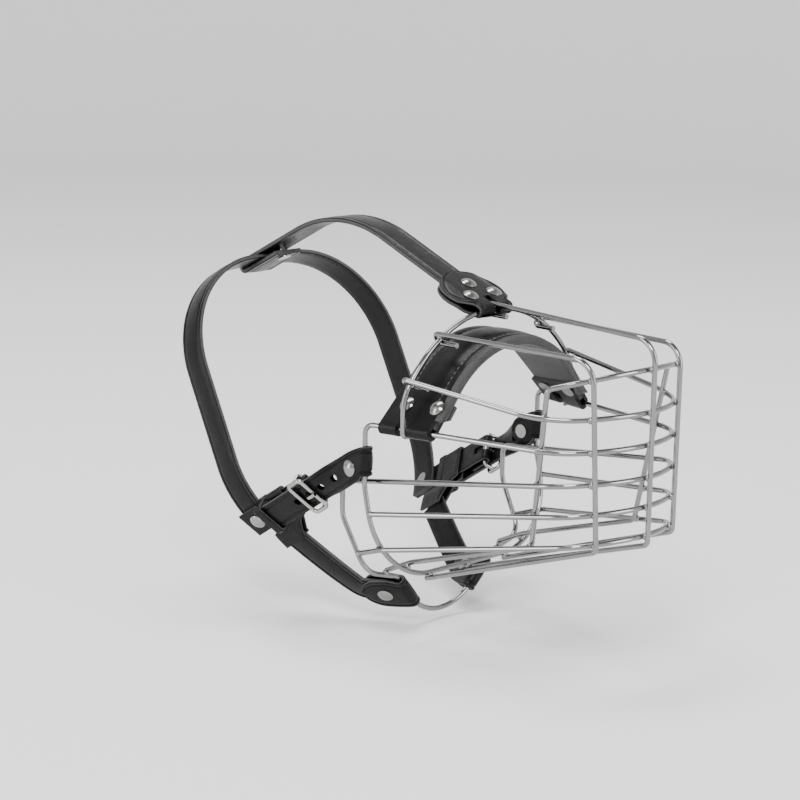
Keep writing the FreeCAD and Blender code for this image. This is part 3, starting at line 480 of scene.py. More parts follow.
def mirrored(vector):
    return V((-vector.x, vector.y, vector.z))


def ease(share):
    share = min(1.0, max(0.0, share))
    return share * share * (3 - 2 * share)


def tip_width(distance, width):
    """Width of a rounded strap end at a distance from its tip."""
    radius = width / 2
    if distance >= radius:
        return width
    return max(TIP_LEAST, 2 * math.sqrt(max(0.0, radius * radius - (radius - distance) ** 2)))


def half_turn(steps=FOLD_STEPS):
    """The angles inside a fold's half turn, without its two ends."""
    return [math.pi * step / steps for step in range(1, steps)]


# ---- cheek straps ------------------------------------------------------------------------------
SKEW_LEAD = 2.0               # the strap's width turns from upright to square over this stretch
SKEW_LENGTH = 11.0


def cheek_across(reach):
    """How far the strap's width has turned from the wire's direction to its own, and where it points."""
    skew = ease((reach + SKEW_LEAD) / SKEW_LENGTH)
    return skew, (Z * (1 - skew) + LINE_UP * skew).normalized()


def cheek_station(reach):
    share = ease((reach - TWIST_START) / (BUCKLE_REACH - TWIST_LEAD - TWIST_START))
    flat_x = CHEEK_SEAT.x + GAP + STRAP / 2
    centre = V((lerp(flat_x, BUCKLE_X, share), CHEEK_SEAT.y, CHEEK_SEAT.z)) + LINE * reach
    skew, across = cheek_across(reach)
    angle = BUCKLE_TWIST * share
    width = lerp(CHEEK_FOLD_WIDTH, STRAP_WIDTH, skew)
    return centre, turned(across, LINE, angle), turned(X, LINE, angle), width


def cheek_strap():
    """From its folded end inside, round the cheek frame, then turning on its way to its rounded tip."""
    radius = GAP + STRAP / 2
    stations = []
    reach = CHEEK_RETURN
    while reach > 0:
        middle, _, _, width = cheek_station(reach)
        centre = V((CHEEK_SEAT.x - radius, middle.y, middle.z))
        width = min(width, tip_width(CHEEK_RETURN + TIP_SPARE - reach, width))
        stations.append((centre, cheek_across(reach)[1], -X, width))
        reach -= 1.0 if reach < TIP_STRETCH else FINE_STEP
    for angle in half_turn():
        out = V((-math.cos(angle), -math.sin(angle), 0))
        stations.append((CHEEK_SEAT + out * radius, Z.copy(), out, CHEEK_FOLD_WIDTH))
    end = BUCKLE_REACH + STRAP_TIP
    reach = 0.0
    while reach < end - TIP_LEFT:
        centre, across, out, width = cheek_station(reach)
        stations.append((centre, across, out, tip_width(end - reach, width)))
        reach += 1.0 if reach < end - TIP_STRETCH else TIP_STEP
    made = strap("left_cheek_strap_leather", stations, STRAP)
    cutters = []
    for hole in HOLE_REACH:
        centre, _, out, _ = cheek_station(hole)
        cutters.append(drill(centre, out.normalized(), HOLE_RADIUS))
    cut(made, cutters)
    return made


both_sides(cheek_strap(), "cheek_strap")


# ---- back straps, keepers and throat loops -----------------------------------------------------
KEEPER_CORNER_STEPS = 6
HANGER_TOP = -10.5            # across the strap, where the loop widens into the hanging piece
HANGER_LOW = -21.8
HANGER_REAR = 49.4            # its rear edge, which leans back by HANGER_LEAN per unit of height
HANGER_LEAN = 0.12
HANGER_LEAN_FROM = -10.6
HANGER_SHOULDER = 0.7         # height of the rounded step out to the rear edge
HANGER_NECK = (26.0, -11.9)   # its front edge steps in to here, then runs to HANGER_TOE
HANGER_TOE = 33.5
HANGER_TOE_DROP = 8.4
HANGER_STEP = 1.2             # spacing of the stations, closer together at the shoulder
SHOULDER_STEP = 0.3
LOOP_STEP = 1.5
HANGER_SPREAD = 0.22          # the two layers part by this share for the throat strap between them
SPREAD_FROM = -11.0
SPREAD_OVER = 4.0


def back_strap():
    """Folded round the buckle's hidden bar, with a slot for the prong in the fold."""
    stations = []
    for step in range(BACK_RETURN + 1):
        place = in_buckle(BACK_RETURN - step, 0, BACK_LIFT - BAR_DEPTH)
        stations.append((place, BUCKLE_UP, BUCKLE_OUT, STRAP_WIDTH))
    for angle in half_turn():
        out = BUCKLE_OUT * math.cos(angle) - LINE * math.sin(angle)
        stations.append((in_buckle(0, 0, -BAR_DEPTH) + out * BACK_LIFT, BUCKLE_UP, out, STRAP_WIDTH))
    for step in range(BACK_LENGTH + 1):
        stations.append((in_buckle(step, 0, BACK_MIDDLE), BUCKLE_UP, -BUCKLE_OUT, STRAP_WIDTH))
    made = strap("left_back_strap_leather", stations, BACK_STRAP, crease=0)
    slot = box_cutter(-PRONG_SLOT / 2, PRONG_SLOT / 2)
    turn = Matrix((LINE, BUCKLE_UP, BUCKLE_OUT)).transposed().to_4x4()
    slot.matrix_world = Matrix.Translation(in_buckle(0, 0, -BAR_DEPTH) * MM) @ turn
    cut(made, [slot])
    return made


both_sides(back_strap(), "back_strap")


def keeper_band():
    """A closed leather band round the two straps: its path runs round their section."""
    low = BACK_MIDDLE - BACK_STRAP / 2
    high = STRAP / 2
    side = STRAP_WIDTH / 2 + KEEPER_AIR + KEEPER_WALL / 2 - KEEPER_CORNER
    rise = (high - low) / 2 + KEEPER_AIR + KEEPER_WALL / 2 - KEEPER_CORNER
    stations = []
    for sign_side, sign_rise, start in ((1, 1, 0), (-1, 1, 90), (-1, -1, 180), (1, -1, 270)):
        corner = in_buckle(KEEPER_REACH, sign_side * side, (low + high) / 2 + sign_rise * rise)
        for step in range(KEEPER_CORNER_STEPS + 1):
            angle = math.radians(start + 90 * step / KEEPER_CORNER_STEPS)
            out = BUCKLE_UP * math.cos(angle) + BUCKLE_OUT * math.sin(angle)
            stations.append((corner + out * KEEPER_CORNER, LINE, out, KEEPER_LENGTH))
    return strap("left_keeper_band", stations, KEEPER_WALL, crease=0, closed=True)


both_sides(keeper_band(), "keeper", "_keeper_body")


def hanger_span(across):
    """From where to where the throat loop reaches along the strap, at one height across it."""
    if across > HANGER_TOP:
        return LOOP_FRONT, LOOP_REAR
    neck, neck_across = HANGER_NECK
    edge = HANGER_REAR + HANGER_LEAN * (HANGER_LEAN_FROM - across)
    rear = lerp(LOOP_REAR, edge, ease((HANGER_TOP - across) / HANGER_SHOULDER))
    if across > neck_across:
        return lerp(LOOP_FRONT, neck, ease((HANGER_TOP - across) / (HANGER_TOP - neck_across))), rear
    return min(lerp(neck, HANGER_TOE, (neck_across - across) / HANGER_TOE_DROP), HANGER_TOE), rear


def throat_loop():
    """The loop round the back strap and the doubled piece that hangs from it, as one leather piece."""
    rise = BACK_STRAP + LOOP_AIR
    bend = STRAP_WIDTH / 2 - BACK_STRAP / 2
    stations = []

    def add(across, offset, normal):
        front, rear = hanger_span(across)
        spread = 1 + HANGER_SPREAD * ease((SPREAD_FROM - across) / SPREAD_OVER)
        centre = in_buckle((front + rear) / 2, across, BACK_MIDDLE + offset * spread)
        stations.append((centre, LINE, normal, rear - front))

    heights = [HANGER_LOW + HANGER_STEP * k for k in range(9)]
    heights += [HANGER_TOP + SHOULDER_STEP * k for k in range(-3, 2)]
    heights += [LOOP_STEP * k for k in range(-6, 5)] + [bend]
    for across in heights:
        add(across, rise, BUCKLE_OUT)
    for angle in half_turn(LOOP_FOLD_STEPS):
        out = BUCKLE_OUT * math.cos(angle) + BUCKLE_UP * math.sin(angle)
        add(bend + rise * math.sin(angle), rise * math.cos(angle), out)
    for across in reversed(heights):
        add(across, -rise, -BUCKLE_OUT)
    return strap("left_throat_loop_leather", stations, BACK_STRAP, crease=0)


both_sides(throat_loop(), "throat_loop")

# ---- throat straps -----------------------------------------------------------------------------
THROAT_CURVE_STEPS = 40
THROAT_TAB_SWELL = 2.0        # the tab's waved edges widen it by this much
THROAT_TAB_WAVE = 20.0
THROAT_FINE_FROM = 16         # the tab's rounded end has finer steps from here
TAB_SKEW_LEAD = 1.0
TAB_SKEW_LENGTH = 9.0
leg = (THROAT_APEX - THROAT_STEP).normalized()
throat_seat = THROAT_STEP + leg * THROAT_TAB_REACH
throat_top = in_buckle(*HANGER_FOOT, BACK_MIDDLE)
throat_line = THROAT_TAB_LINE.normalized()
fold_line = (throat_line - leg * throat_line.dot(leg)).normalized()
throat_out = leg.cross(fold_line).normalized()
throat_across = throat_line.cross(throat_out).normalized()


def throat_strap():
    """Straight inside the tab, then curving up to the hanging piece as it turns."""
    leave = throat_seat + throat_line * THROAT_TAB_LENGTH
    bend = throat_seat + throat_line * THROAT_STRAP_BEND
    stations = []
    for reach in range(THROAT_STRAP_START, THROAT_TAB_LENGTH):
        stations.append((throat_seat + throat_line * reach, throat_across, throat_out, STRAP_WIDTH))
    for step in range(THROAT_CURVE_STEPS + 1):
        share = step / THROAT_CURVE_STEPS
        centre = leave * (1 - share) ** 2 + bend * (2 * share * (1 - share)) + throat_top * share ** 2
        along = ((bend - leave) * (1 - share) + (throat_top - bend) * share).normalized()
        out = lerp(throat_out, BUCKLE_OUT, ease(share))
        out = (out - along * out.dot(along)).normalized()
        stations.append((centre, along.cross(out).normalized(), out, STRAP_WIDTH))
    return strap("left_throat_strap_leather", stations, STRAP)


both_sides(throat_strap(), "throat_strap")


def throat_tab():
    """Folded round the throat frame: a wide piece with softly waved, hand-cut edges."""
    radius = GAP + LEATHER / 2
    across_fold = leg if leg.dot(throat_across) > 0 else -leg
    stations = []

    def layer(side, reach):
        skew = ease((reach + TAB_SKEW_LEAD) / TAB_SKEW_LENGTH)
        across = (across_fold * (1 - skew) + throat_across * skew).normalized()
        centre = throat_seat + throat_line * reach + throat_out * (side * radius)
        swelling = THROAT_TAB_SWELL * math.sin(math.pi * min(1.0, reach / THROAT_TAB_WAVE))
        width = tip_width(THROAT_TAB_LENGTH + TIP_SPARE - reach, THROAT_FOLD_WIDTH + swelling)
        stations.append((centre, across, throat_out * side, width))

    reaches = list(range(THROAT_FINE_FROM))
    fine_steps = int((THROAT_TAB_LENGTH - THROAT_FINE_FROM) / FINE_STEP)
    reaches += [THROAT_FINE_FROM + FINE_STEP * k for k in range(fine_steps + 1)]
    for reach in reversed(reaches[1:]):
        layer(-1, reach)
    for angle in half_turn():
        out = -throat_out * math.cos(angle) - fold_line * math.sin(angle)
        stations.append((throat_seat + out * radius, across_fold, out, THROAT_FOLD_WIDTH))
    for reach in reaches:
        layer(1, reach)
    return strap("left_throat_tab_leather", stations, LEATHER)


both_sides(throat_tab(), "throat_tab")

# ---- forehead strap, top tab and neck strap ----------------------------------------------------
UP_HEAD = V((0, math.cos(HEAD_ANGLE), math.sin(HEAD_ANGLE)))
HEAD_OUT = V((0, -math.sin(HEAD_ANGLE), math.cos(HEAD_ANGLE)))
UP_NECK = V((0, math.cos(NECK_ANGLE), math.sin(NECK_ANGLE)))
NECK_ACROSS = V((0, math.sin(NECK_ANGLE), -math.cos(NECK_ANGLE)))
NECK_FOOT = in_buckle(NECK_REACH, -STRAP_WIDTH / 2, BACK_MIDDLE - BACK_STRAP / 2 - NECK_SEAM - STRAP / 2)
NECK_CROWN = V((0, NECK_FOOT.y, NECK_FOOT.z)) + UP_NECK * NECK_RISE
ARC_STEP = 1.5                # length of the pieces that an arc is made of
ARC_LEAST_STEPS = 6
RUN_STEP = 2.0                # the longest piece of a straight run
SAME_PLACE = 0.02
# places along the top tab, closer together at its tip and at its fold
TAB_REACHES = (33.4, 33.1, 32.6, 32.0, 31.2, 30.2, 29.0, 27.5, 26.0, 24.0, 22.0, 20.0, 18.0, 16.0, 14.0, 12.0,
               10.0, 8.5, 7.0, 6.0, 5.0, 4.0, 3.0, 2.0, 1.0, 0.3)
TAB_FLARE = 4.0               # length over which the tab's neck widens into the oval
PINCH = 1.2                   # each layer of the tab closes in by this much along its edges
PINCH_BESIDE = 10.6           # from the middle, just clear of the forehead strap
PINCH_OVER = 6.0
PINCH_BEHIND = 4.0
PINCH_TIP = 30.0
PINCH_TIP_OVER = 3.4
PINCH_TIP_BESIDE = 9.0
PINCH_TIP_SIDE_OVER = 2.0
HOOK_SLOT = ((-2.1, -12.5, 0), (2.1, 7.5, 40))   # where the centre wire's hook passes through the tab's fold


def rounded(corners):
    """Points along straight runs and tangent arcs through (point, radius) corners."""
    points = [corners[0][0]]
    for index in range(1, len(corners) - 1):
        before, (corner, radius), after = corners[index - 1][0], corners[index], corners[index + 1][0]
        back = (before - corner).normalized()
        ahead = (after - corner).normalized()
        half = back.angle(ahead) / 2
        centre = corner + (back + ahead).normalized() * (radius / math.sin(half))
        start = corner + back * (radius / math.tan(half)) - centre
        end = corner + ahead * (radius / math.tan(half)) - centre
        sweep = start.angle(end)
        axis = start.cross(end).normalized()
        steps = max(ARC_LEAST_STEPS, int(sweep * radius / ARC_STEP))
        for step in range(steps + 1):
            points.append(centre + turned(start, axis, sweep * step / steps))
    points.append(corners[-1][0])
    dense = [points[0]]
    for point in points[1:]:
        gap = (point - dense[-1]).length
        pieces = max(1, int(gap / RUN_STEP))
        start = dense[-1]
        for step in range(1, pieces + 1):
            dense.append(lerp(start, point, step / pieces))
    return [p for k, p in enumerate(dense) if k == 0 or (p - dense[k - 1]).length > SAME_PLACE]


def framed(points, across, width):
    stations = []
    for k, point in enumerate(points):
        ahead = points[min(k + 1, len(points) - 1)] - points[max(k - 1, 0)]
        stations.append((point, across, ahead.cross(across).normalized(), width))
    return stations


def neck_turn():
    """The strap's lower end on the +X side, turning square to the head, and the place where the turn ends."""
    stations = []
    place = NECK_FOOT
    for step in range(NECK_STEPS):
        share = step / NECK_STEPS
        across = (LINE * (1 - share) + NECK_ACROSS * share).normalized()
        out = turned(X, across, BUCKLE_TWIST * (1 - share))
        stations.append((place, across, out, STRAP_WIDTH))
        place = place + out.cross(across).normalized() * NECK_STEP
    return stations, place


def neck_strap():
    """Up from one back strap, over the neck and down to the other."""
    half, turn_end = neck_turn()
    shoulder = V((turn_end.x, NECK_CROWN.y, NECK_CROWN.z))
    arch = rounded([(turn_end, 0), (shoulder, NECK_TOP_RADIUS), (NECK_CROWN, 0)])
    for k, point in enumerate(arch):
        ahead = -X if k == len(arch) - 1 else arch[k + 1] - arch[max(k - 1, 0)]
        half.append((point, NECK_ACROSS, NECK_ACROSS.cross(ahead).normalized(), STRAP_WIDTH))
    rest = []
    for centre, across, out, width in reversed(half[:-1]):
        rest.append((mirrored(centre), mirrored(across), mirrored(out), width))
    return strap("neck_strap_leather", half + rest, STRAP)


neck = neck_strap()
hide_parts("neck_strap")
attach(neck, "muzzle")


def forehead_strap():
    """From inside the top tab back over the head, then folded under round the neck strap's crown."""
    gap = STRAP + FOREHEAD_AIR
    start = CROWN + UP_HEAD * FOREHEAD_START
    over = NECK_CROWN + UP_NECK * gap
    under = NECK_CROWN - UP_NECK * gap
    normal = UP_HEAD.cross(NECK_ACROSS)
    reach = (over - start).cross(NECK_ACROSS).dot(normal) / normal.dot(normal)
    end = STRAP_WIDTH / 2 + FOREHEAD_SPARE
    points = rounded([(start, 0), (start + UP_HEAD * reach, FOREHEAD_BEND), (over + NECK_ACROSS * end, 0)])
    for angle in half_turn():
        points.append(NECK_CROWN + NECK_ACROSS * (end + gap * math.sin(angle))
                      + UP_NECK * (gap * math.cos(angle)))
    for step in range(FOREHEAD_RETURN + 1):
        points.append(under + NECK_ACROSS * (end - step))
    return strap("forehead_strap_leather", framed(points, -X, FOREHEAD_WIDTH), STRAP, FOREHEAD_CREASE)


forehead = forehead_strap()
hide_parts("forehead_strap")
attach(forehead, "muzzle")


def tab_width(reach):
    """Width of the top tab at a distance back from the arch: a neck that widens into an oval."""
    share = (reach - TAB_CENTRE) / TAB_HALF_LENGTH
    oval = TAB_WIDTH * math.sqrt(1 - share * share)
    if reach > TAB_CENTRE:
        return oval
    return lerp(TAB_NECK, max(TAB_NECK, oval), ease(reach / TAB_FLARE))


def pinch(thing):
    """Closes the tab's two layers together along its edges, beside the strap between them."""
    for vertex in thing.data.vertices:
        place = vertex.co / MM - CROWN
        beside = abs(place.x)
        reach = place.dot(UP_HEAD)
        shut = PINCH * ease((beside - PINCH_BESIDE) / PINCH_OVER) * ease((reach - PINCH_BEHIND) / PINCH_OVER)
        shut += (PINCH * ease((reach - PINCH_TIP) / PINCH_TIP_OVER)
                 * ease((beside - PINCH_TIP_BESIDE) / PINCH_TIP_SIDE_OVER))
        side = 1 if place.dot(HEAD_OUT) > 0 else -1
        vertex.co -= HEAD_OUT * (side * min(PINCH, shut) * MM)


def top_tab():
    """Folded round the arch, with an oval of two layers over the forehead strap's end."""
    radius = GAP + LEATHER / 2
    stations = []
    for reach in TAB_REACHES:
        stations.append((CROWN + UP_HEAD * reach - HEAD_OUT * radius, X.copy(), -HEAD_OUT, tab_width(reach)))
    for angle in half_turn():
        out = -HEAD_OUT * math.cos(angle) - UP_HEAD * math.sin(angle)
        stations.append((CROWN + out * radius, X.copy(), out, TAB_NECK))
    for reach in reversed(TAB_REACHES):
        stations.append((CROWN + UP_HEAD * reach + HEAD_OUT * radius, X.copy(), HEAD_OUT, tab_width(reach)))
    made = strap("top_tab_leather", stations, LEATHER, TAB_CREASE)
    pinch(made)
    cut(made, [box_cutter(*HOOK_SLOT)])
    return made


tab = top_tab()
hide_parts("top_tab")
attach(tab, "muzzle")

# ---- nose pad ----------------------------------------------------------------------------------
WRAP_RADIUS = PAD_RADIUS + LINING / 2
FRONT_ROW = -9.5              # the two rows of stitching
REAR_ROW = 11.5
BAND = 3.2                    # width of the raw strip along the pad's front edge
BAND_SINK = 0.75
BAND_STEP = 0.8
PUFF = 1.15                   # rise of the cover between the two rows
PUFF_SHAPE = 3.5
ROW_SINK = 0.3
FRONT_PUFF = 0.35
REAR_PUFF = 0.4
SWELL_FROM = 1.15             # along a path, where the cover begins to stand off its plain surface
SWELL_OVER = 0.5
COLUMN_STEP = 0.55
COLUMNS = 61
RETURN_STEP = 1.2
RETURN_ROWS = 15
FOLD_ROWS = 14
TAIL_ROWS = 16
ARC_ROWS = 26
BAND_ROWS = 18                # the raw strip starts this many rows after the folded end
LINING_START = 1.12
PAD_ROUNDING = 0.45
PAD_ROUNDING_ANGLE = math.radians(50)
PAD_SPARE = 2.0               # the front cut starts this far ahead of the pad


def pad_frame(y):
    """The fold's seat on the cheek frame, the tail's way up, its outward direction and its lean."""
    share = (y - CHEEK_Y) / (FRONT_APEX_Y + FRONT_SLOPE * CHEEK_FRONT_X - CHEEK_Y)
    seat = V((lerp(CHEEK_X, CHEEK_FRONT_X, share), y, lerp(CHEEK_TOP_Z, CHEEK_FRONT_Z, share)))
    rise = seat.z + PAD_RADIUS
    angle = math.atan2(seat.x, rise) - math.acos(WRAP_RADIUS / math.hypot(seat.x, rise))
    return seat, V((-math.cos(angle), 0, math.sin(angle))), V((math.sin(angle), 0, math.cos(angle))), angle


def pad_point(y, path, offset):
    """A point of the pad's +X half: path runs 0-1 fold, 1-2 tail, 2-3 arc to the centre plane."""
    seat, up, out, angle = pad_frame(y)
    top = V((0, y, -PAD_RADIUS)) + out * WRAP_RADIUS
    if path < 0:
        return seat + up * (-path) - out * offset
    if path < 1:
        turn = math.pi * path
        return seat - out * (offset * math.cos(turn)) - up * (offset * math.sin(turn))
    if path < 2:
        return lerp(seat, top, path - 1) + out * offset
    turn = angle * (3 - path)
    return V((0, y, -PAD_RADIUS)) + V((math.sin(turn), 0, math.cos(turn))) * (WRAP_RADIUS + offset)


def swell(y):
    """How far the cover stands off its plain surface: full between the two rows of stitching."""
    band_edge = PAD_FRONT + BAND
    if y < band_edge:
        return -BAND_SINK * ease((band_edge - y) / BAND_STEP)
    if FRONT_ROW < y < REAR_ROW:
        across = (y - (FRONT_ROW + REAR_ROW) / 2) / ((REAR_ROW - FRONT_ROW) / 2)
        return PUFF * (1 - abs(across) ** PUFF_SHAPE) - ROW_SINK
    if y <= FRONT_ROW:
        share = (y - band_edge) / (FRONT_ROW - band_edge)
        return FRONT_PUFF * math.sin(math.pi * share) - ROW_SINK * share
    share = (y - REAR_ROW) / (PAD_REAR - REAR_ROW)
    return REAR_PUFF * math.sin(math.pi * share) - ROW_SINK * (1 - share)


def pad_sheet(name, paths, offset, thickness, materials, puff=True):
    """One layer of the pad over the nose and down both sides; a puffed one has a raw strip in front."""
    verts, faces, indices = [], [], []
    rows = []
    for path in paths:
        share = ease((path - SWELL_FROM) / SWELL_OVER) if puff else 0.0
        rows.append([pad_point(y, path, offset + swell(y) * share) for y in COLUMN_PLACES])
    rows += [[mirrored(point) for point in row] for row in reversed(rows[:-1])]
    for row in rows:
        verts += row
    wide = len(COLUMN_PLACES)
    last = len(rows) - 1
    margin = RETURN_ROWS + BAND_ROWS
    for i in range(last):
        for j in range(wide - 1):
            a = i * wide + j
            faces.append((a, a + wide, a + wide + 1, a + 1))
            in_band = margin < i < last - margin and COLUMN_PLACES[j + 1] <= PAD_FRONT + BAND
            indices.append(1 if puff and in_band else 0)
    made = new_object(name, verts, faces, materials, indices)
    thick = made.modifiers.new("thickness", "SOLIDIFY")
    thick.thickness = thickness * MM
    thick.offset = 0
    thick.material_offset_rim = 1
    soft = made.modifiers.new("rounding", "BEVEL")
    soft.width = PAD_ROUNDING * MM
    soft.segments = 2
    soft.limit_method = "ANGLE"
    soft.angle_limit = PAD_ROUNDING_ANGLE
    apply_modifiers(made)
    cutters = []
    for low_y, high_y in (PAD_NOTCH_Y, (PAD_FRONT - PAD_SPARE, PAD_TAIL_FRONT_Y)):
        for low_x in (PAD_NOTCH_X, -PAD_NOTCH_X - PAD_NOTCH_SIZE):
            cutters.append(box_cutter((low_x, low_y, PAD_NOTCH_TOP - PAD_NOTCH_SIZE),
                                      (low_x + PAD_NOTCH_SIZE, high_y, PAD_NOTCH_TOP)))
    cut(made, cutters)
    return made


# the pad's rows run from the folded end to the centre plane, and its columns from front to rear
COLUMN_PLACES = sorted({*(PAD_FRONT + COLUMN_STEP * k for k in range(COLUMNS)),
                        *PAD_NOTCH_Y, PAD_TAIL_FRONT_Y, PAD_FRONT + BAND})
arc_paths = [2 + k / ARC_ROWS for k in range(1, ARC_ROWS + 1)]
cover_paths = [-PAD_RETURN + RETURN_STEP * k for k in range(RETURN_ROWS)]
cover_paths += [k / FOLD_ROWS for k in range(FOLD_ROWS + 1)]
cover_paths += [1 + k / TAIL_ROWS for k in range(1, TAIL_ROWS + 1)] + arc_paths
lining_paths = [lerp(LINING_START, 2, k / TAIL_ROWS) for k in range(TAIL_ROWS + 1)] + arc_paths
cover = pad_sheet("nose_pad_cover_leather", cover_paths, GAP + LEATHER / 2, LEATHER, [SOFT_BLACK, EDGE])
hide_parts("nose_pad_cover")
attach(cover, "muzzle")
lining = pad_sheet("nose_pad_lining_felt", lining_paths, 0.0, LINING, [FELT, FELT], puff=False)
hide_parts("nose_pad_lining")
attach(lining, "muzzle")


# ---- stitching ---------------------------------------------------------------------------------
STITCH_PITCH = 3.3
STITCH_LENGTH = 2.4
THREAD_RADIUS = 0.42
STITCH_SIDES = 8
STITCH_RINGS = 7
STITCH_SINK = 0.28            # its ends lie this much deeper than its middle
STITCH_RISE = 0.16
STITCH_TAPER = 0.9
ROW_START = 1.42              # along a path, where a row of stitching begins
ROW_TAIL_STEPS = 12
ROW_ARC_STEPS = 40


def one_stitch(centre, along, normal, side):
    """Points of one stitch: a short thick thread whose ends taper and sink into the leather."""
    points = []
    for ring in range(STITCH_RINGS):
        place = -1 + 2 * ring / (STITCH_RINGS - 1)
        fat = THREAD_RADIUS * math.sqrt(1 - STITCH_TAPER * place * place)
        rise = STITCH_RISE - STITCH_SINK * place * place
        for step in range(STITCH_SIDES):
            angle = 2 * math.pi * step / STITCH_SIDES
            points.append(centre + along * (place * STITCH_LENGTH / 2)
                          + normal * (rise + fat * math.sin(angle)) + side * (fat * math.cos(angle)))
    return points


def stitches(name, points, normals):
    """A row of thread stitches that follows a line."""
    runs = [0.0]
    for a, b in zip(points, points[1:]):
        runs.append(runs[-1] + (b - a).length)
    verts, faces = [], []
    place = STITCH_PITCH / 2
    while place < runs[-1] - STITCH_PITCH / 2:
        k = max(i for i in range(len(runs) - 1) if runs[i] <= place)
        share = (place - runs[k]) / (runs[k + 1] - runs[k])
        normal = lerp(normals[k], normals[k + 1], share).normalized()
        along = (points[k + 1] - points[k]).normalized()
        base = len(verts)
        side = along.cross(normal).normalized()
        verts += one_stitch(lerp(points[k], points[k + 1], share), along, normal, side)
        for ring in range(STITCH_RINGS - 1):
            a = base + ring * STITCH_SIDES
            b = a + STITCH_SIDES
            for step in range(STITCH_SIDES):
                nxt = (step + 1) % STITCH_SIDES
                faces.append((a + step, a + nxt, b + nxt, b + step))
        end = base + (STITCH_RINGS - 1) * STITCH_SIDES
        faces.append(tuple(range(base, base + STITCH_SIDES))[::-1])
        faces.append(tuple(range(end, end + STITCH_SIDES)))
        place += STITCH_PITCH
    made = new_object(name, verts, faces, [THREAD])
    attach(made, "muzzle")


row_paths = [lerp(ROW_START, 2, k / ROW_TAIL_STEPS) for k in range(ROW_TAIL_STEPS + 1)]
row_paths += [2 + k / ROW_ARC_STEPS for k in range(1, ROW_ARC_STEPS + 1)]
for label, y in (("front", FRONT_ROW), ("rear", REAR_ROW)):
    line, normals = [], []
    for path in row_paths:
        offset = GAP + LEATHER + swell(y)
        line.append(pad_point(y, path, offset))
        normals.append((pad_point(y, path, offset + 1) - pad_point(y, path, offset)).normalized())
    line += [mirrored(point) for point in reversed(line[:-1])]
    normals += [mirrored(normal) for normal in reversed(normals[:-1])]
    stitches("nose_pad_" + label + "_stitching", line, normals)

# ---- wires, rivets and buckles keep their CAD shapes -------------------------------------------
WIRES = ["rim_arch", "upper_side_wire", "cheek_frame_wire", "throat_frame_wire", "lower_side_wire",
         "bottom_side_wire", "inner_front_wire", "left_long_wire", "centre_long_wire", "right_long_wire",
         "weld_beads"]
for node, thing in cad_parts.items():
    if node in WIRES:
        finish = CHROME
    elif "rivet" in node:
        finish = RIVET
    elif "buckle" in node:
        finish = NICKEL
    else:
        finish = BLACK
    thing.data.materials.clear()
    thing.data.materials.append(finish)
    thing.data.polygons.foreach_set("use_smooth", [True] * len(thing.data.polygons))
    thing.data.set_sharp_from_angle(angle=METAL_SMOOTH)

# ---- floor, light and camera, in metres --------------------------------------------------------
FLOOR_DROP = 0.004            # the floor lies this far under the muzzle
FLOOR_RADIUS = 2.0
FLOOR_RINGS = (0.6, 1.2, FLOOR_RADIUS)
FLOOR_CURVE = 0.9
FLOOR_CURVE_STEPS = 12
FLOOR_SIDES = 64
WALL_HEIGHT = 2.0
PALE = (0.86, 0.86, 0.86, 1)
CAMERA_PLACE = V((-0.94702, -0.86234, 0.24465))
CAMERA_TURN = (-45.5, 12.226, 1.184)    # azimuth, elevation and roll, in degrees
CAMERA_LENS = 112.5
SENSOR_WIDTH = 36.0
CAMERA_REACH = 20.0
# name, place, target, size and power of each soft light
LIGHTS = (("key", (-1.3, -0.9, 1.5), (0, 0, -0.03), (0.8, 0.8), 38),
          ("fill", (0.5, -1.6, 0.5), (0, 0, -0.03), (0.7, 1.2), 16),
          ("top", (0.1, 0.5, 1.6), (0, 0, 0), (1.2, 0.6), 26),
          ("side", (-1.6, 0.6, 0.35), (0, 0, -0.03), (0.4, 1.2), 12))
# brightness of the surroundings from straight down, 0, to straight up, 1
WORLD_STOPS = [(0.0, 0.30), (0.47, 0.03), (0.60, 0.04), (0.66, 0.70), (0.84, 1.0), (0.93, 0.35)]
WORLD_STRENGTH = 1.1


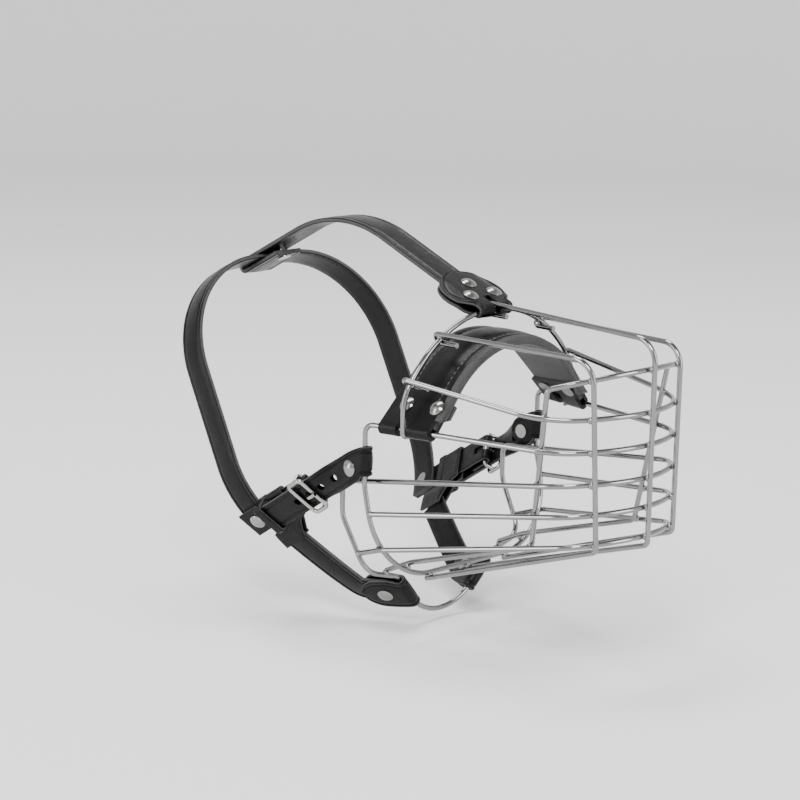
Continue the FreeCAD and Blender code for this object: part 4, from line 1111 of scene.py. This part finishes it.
def backdrop():
    """A pale floor that curves up into a low wall all the way round."""
    made, _, shader = new_material("pale_backdrop", roughness=0.9)
    shader.inputs["Base Color"].default_value = PALE
    profile = [(radius, 0.0) for radius in FLOOR_RINGS]
    for step in range(1, FLOOR_CURVE_STEPS + 1):
        angle = math.radians(90 * step / FLOOR_CURVE_STEPS)
        profile.append((FLOOR_RADIUS + FLOOR_CURVE * math.sin(angle), FLOOR_CURVE * (1 - math.cos(angle))))
    profile.append((FLOOR_RADIUS + FLOOR_CURVE, WALL_HEIGHT))
    floor_z = FRAME_BOUNDS[0][2] - FLOOR_DROP
    verts = [Z * (floor_z / MM)]
    for radius, height in profile:
        for step in range(FLOOR_SIDES):
            angle = 2 * math.pi * step / FLOOR_SIDES
            verts.append(V((radius * math.cos(angle), radius * math.sin(angle), height + floor_z)) / MM)
    faces = [(0, 1 + step, 1 + (step + 1) % FLOOR_SIDES) for step in range(FLOOR_SIDES)]
    for ring in range(len(profile) - 1):
        for step in range(FLOOR_SIDES):
            a = 1 + ring * FLOOR_SIDES + step
            b = 1 + ring * FLOOR_SIDES + (step + 1) % FLOOR_SIDES
            faces.append((a, a + FLOOR_SIDES, b + FLOOR_SIDES, b))
    new_object("backdrop", verts, faces, [made])


def area_light(name, place, target, size, power):
    data = bpy.data.lights.new(name, "AREA")
    data.shape = "RECTANGLE"
    data.size, data.size_y = size
    data.energy = power
    made = bpy.data.objects.new(name, data)
    bpy.context.scene.collection.objects.link(made)
    made.location = place
    made.rotation_euler = (V(target) - V(place)).to_track_quat("-Z", "Y").to_euler()


def studio_world():
    """Dark below and bright above, so that the chrome has something to reflect."""
    world = bpy.data.worlds.new("studio")
    bpy.context.scene.world = world
    world.use_nodes = True
    tree = world.node_tree
    background = tree.nodes["Background"]
    direction = tree.nodes.new("ShaderNodeTexCoord")
    parts = tree.nodes.new("ShaderNodeSeparateXYZ")
    tree.links.new(direction.outputs["Generated"], parts.inputs["Vector"])
    level = tree.nodes.new("ShaderNodeMapRange")
    level.inputs["From Min"].default_value = -1.0
    tree.links.new(parts.outputs["Z"], level.inputs["Value"])
    tree.links.new(ramp(tree, level.outputs["Result"], WORLD_STOPS), background.inputs["Color"])
    background.inputs["Strength"].default_value = WORLD_STRENGTH


def place_camera():
    data = bpy.data.cameras.new("camera")
    data.lens = CAMERA_LENS
    data.sensor_width = SENSOR_WIDTH
    data.clip_end = CAMERA_REACH
    camera = bpy.data.objects.new("camera", data)
    bpy.context.scene.collection.objects.link(camera)
    azimuth, elevation, roll = (math.radians(value) for value in CAMERA_TURN)
    level = math.cos(elevation)
    back = V((math.sin(azimuth) * level, -math.cos(azimuth) * level, math.sin(elevation)))
    right = (-back).cross(Z).normalized()
    up = right.cross(-back)
    right_rolled = right * math.cos(roll) + up * math.sin(roll)
    up_rolled = up * math.cos(roll) - right * math.sin(roll)
    facing = Matrix((right_rolled, up_rolled, back)).transposed().to_4x4()
    camera.matrix_world = Matrix.Translation(CAMERA_PLACE) @ facing
    bpy.context.scene.camera = camera


backdrop()
for light in LIGHTS:
    area_light(*light)
studio_world()
place_camera()
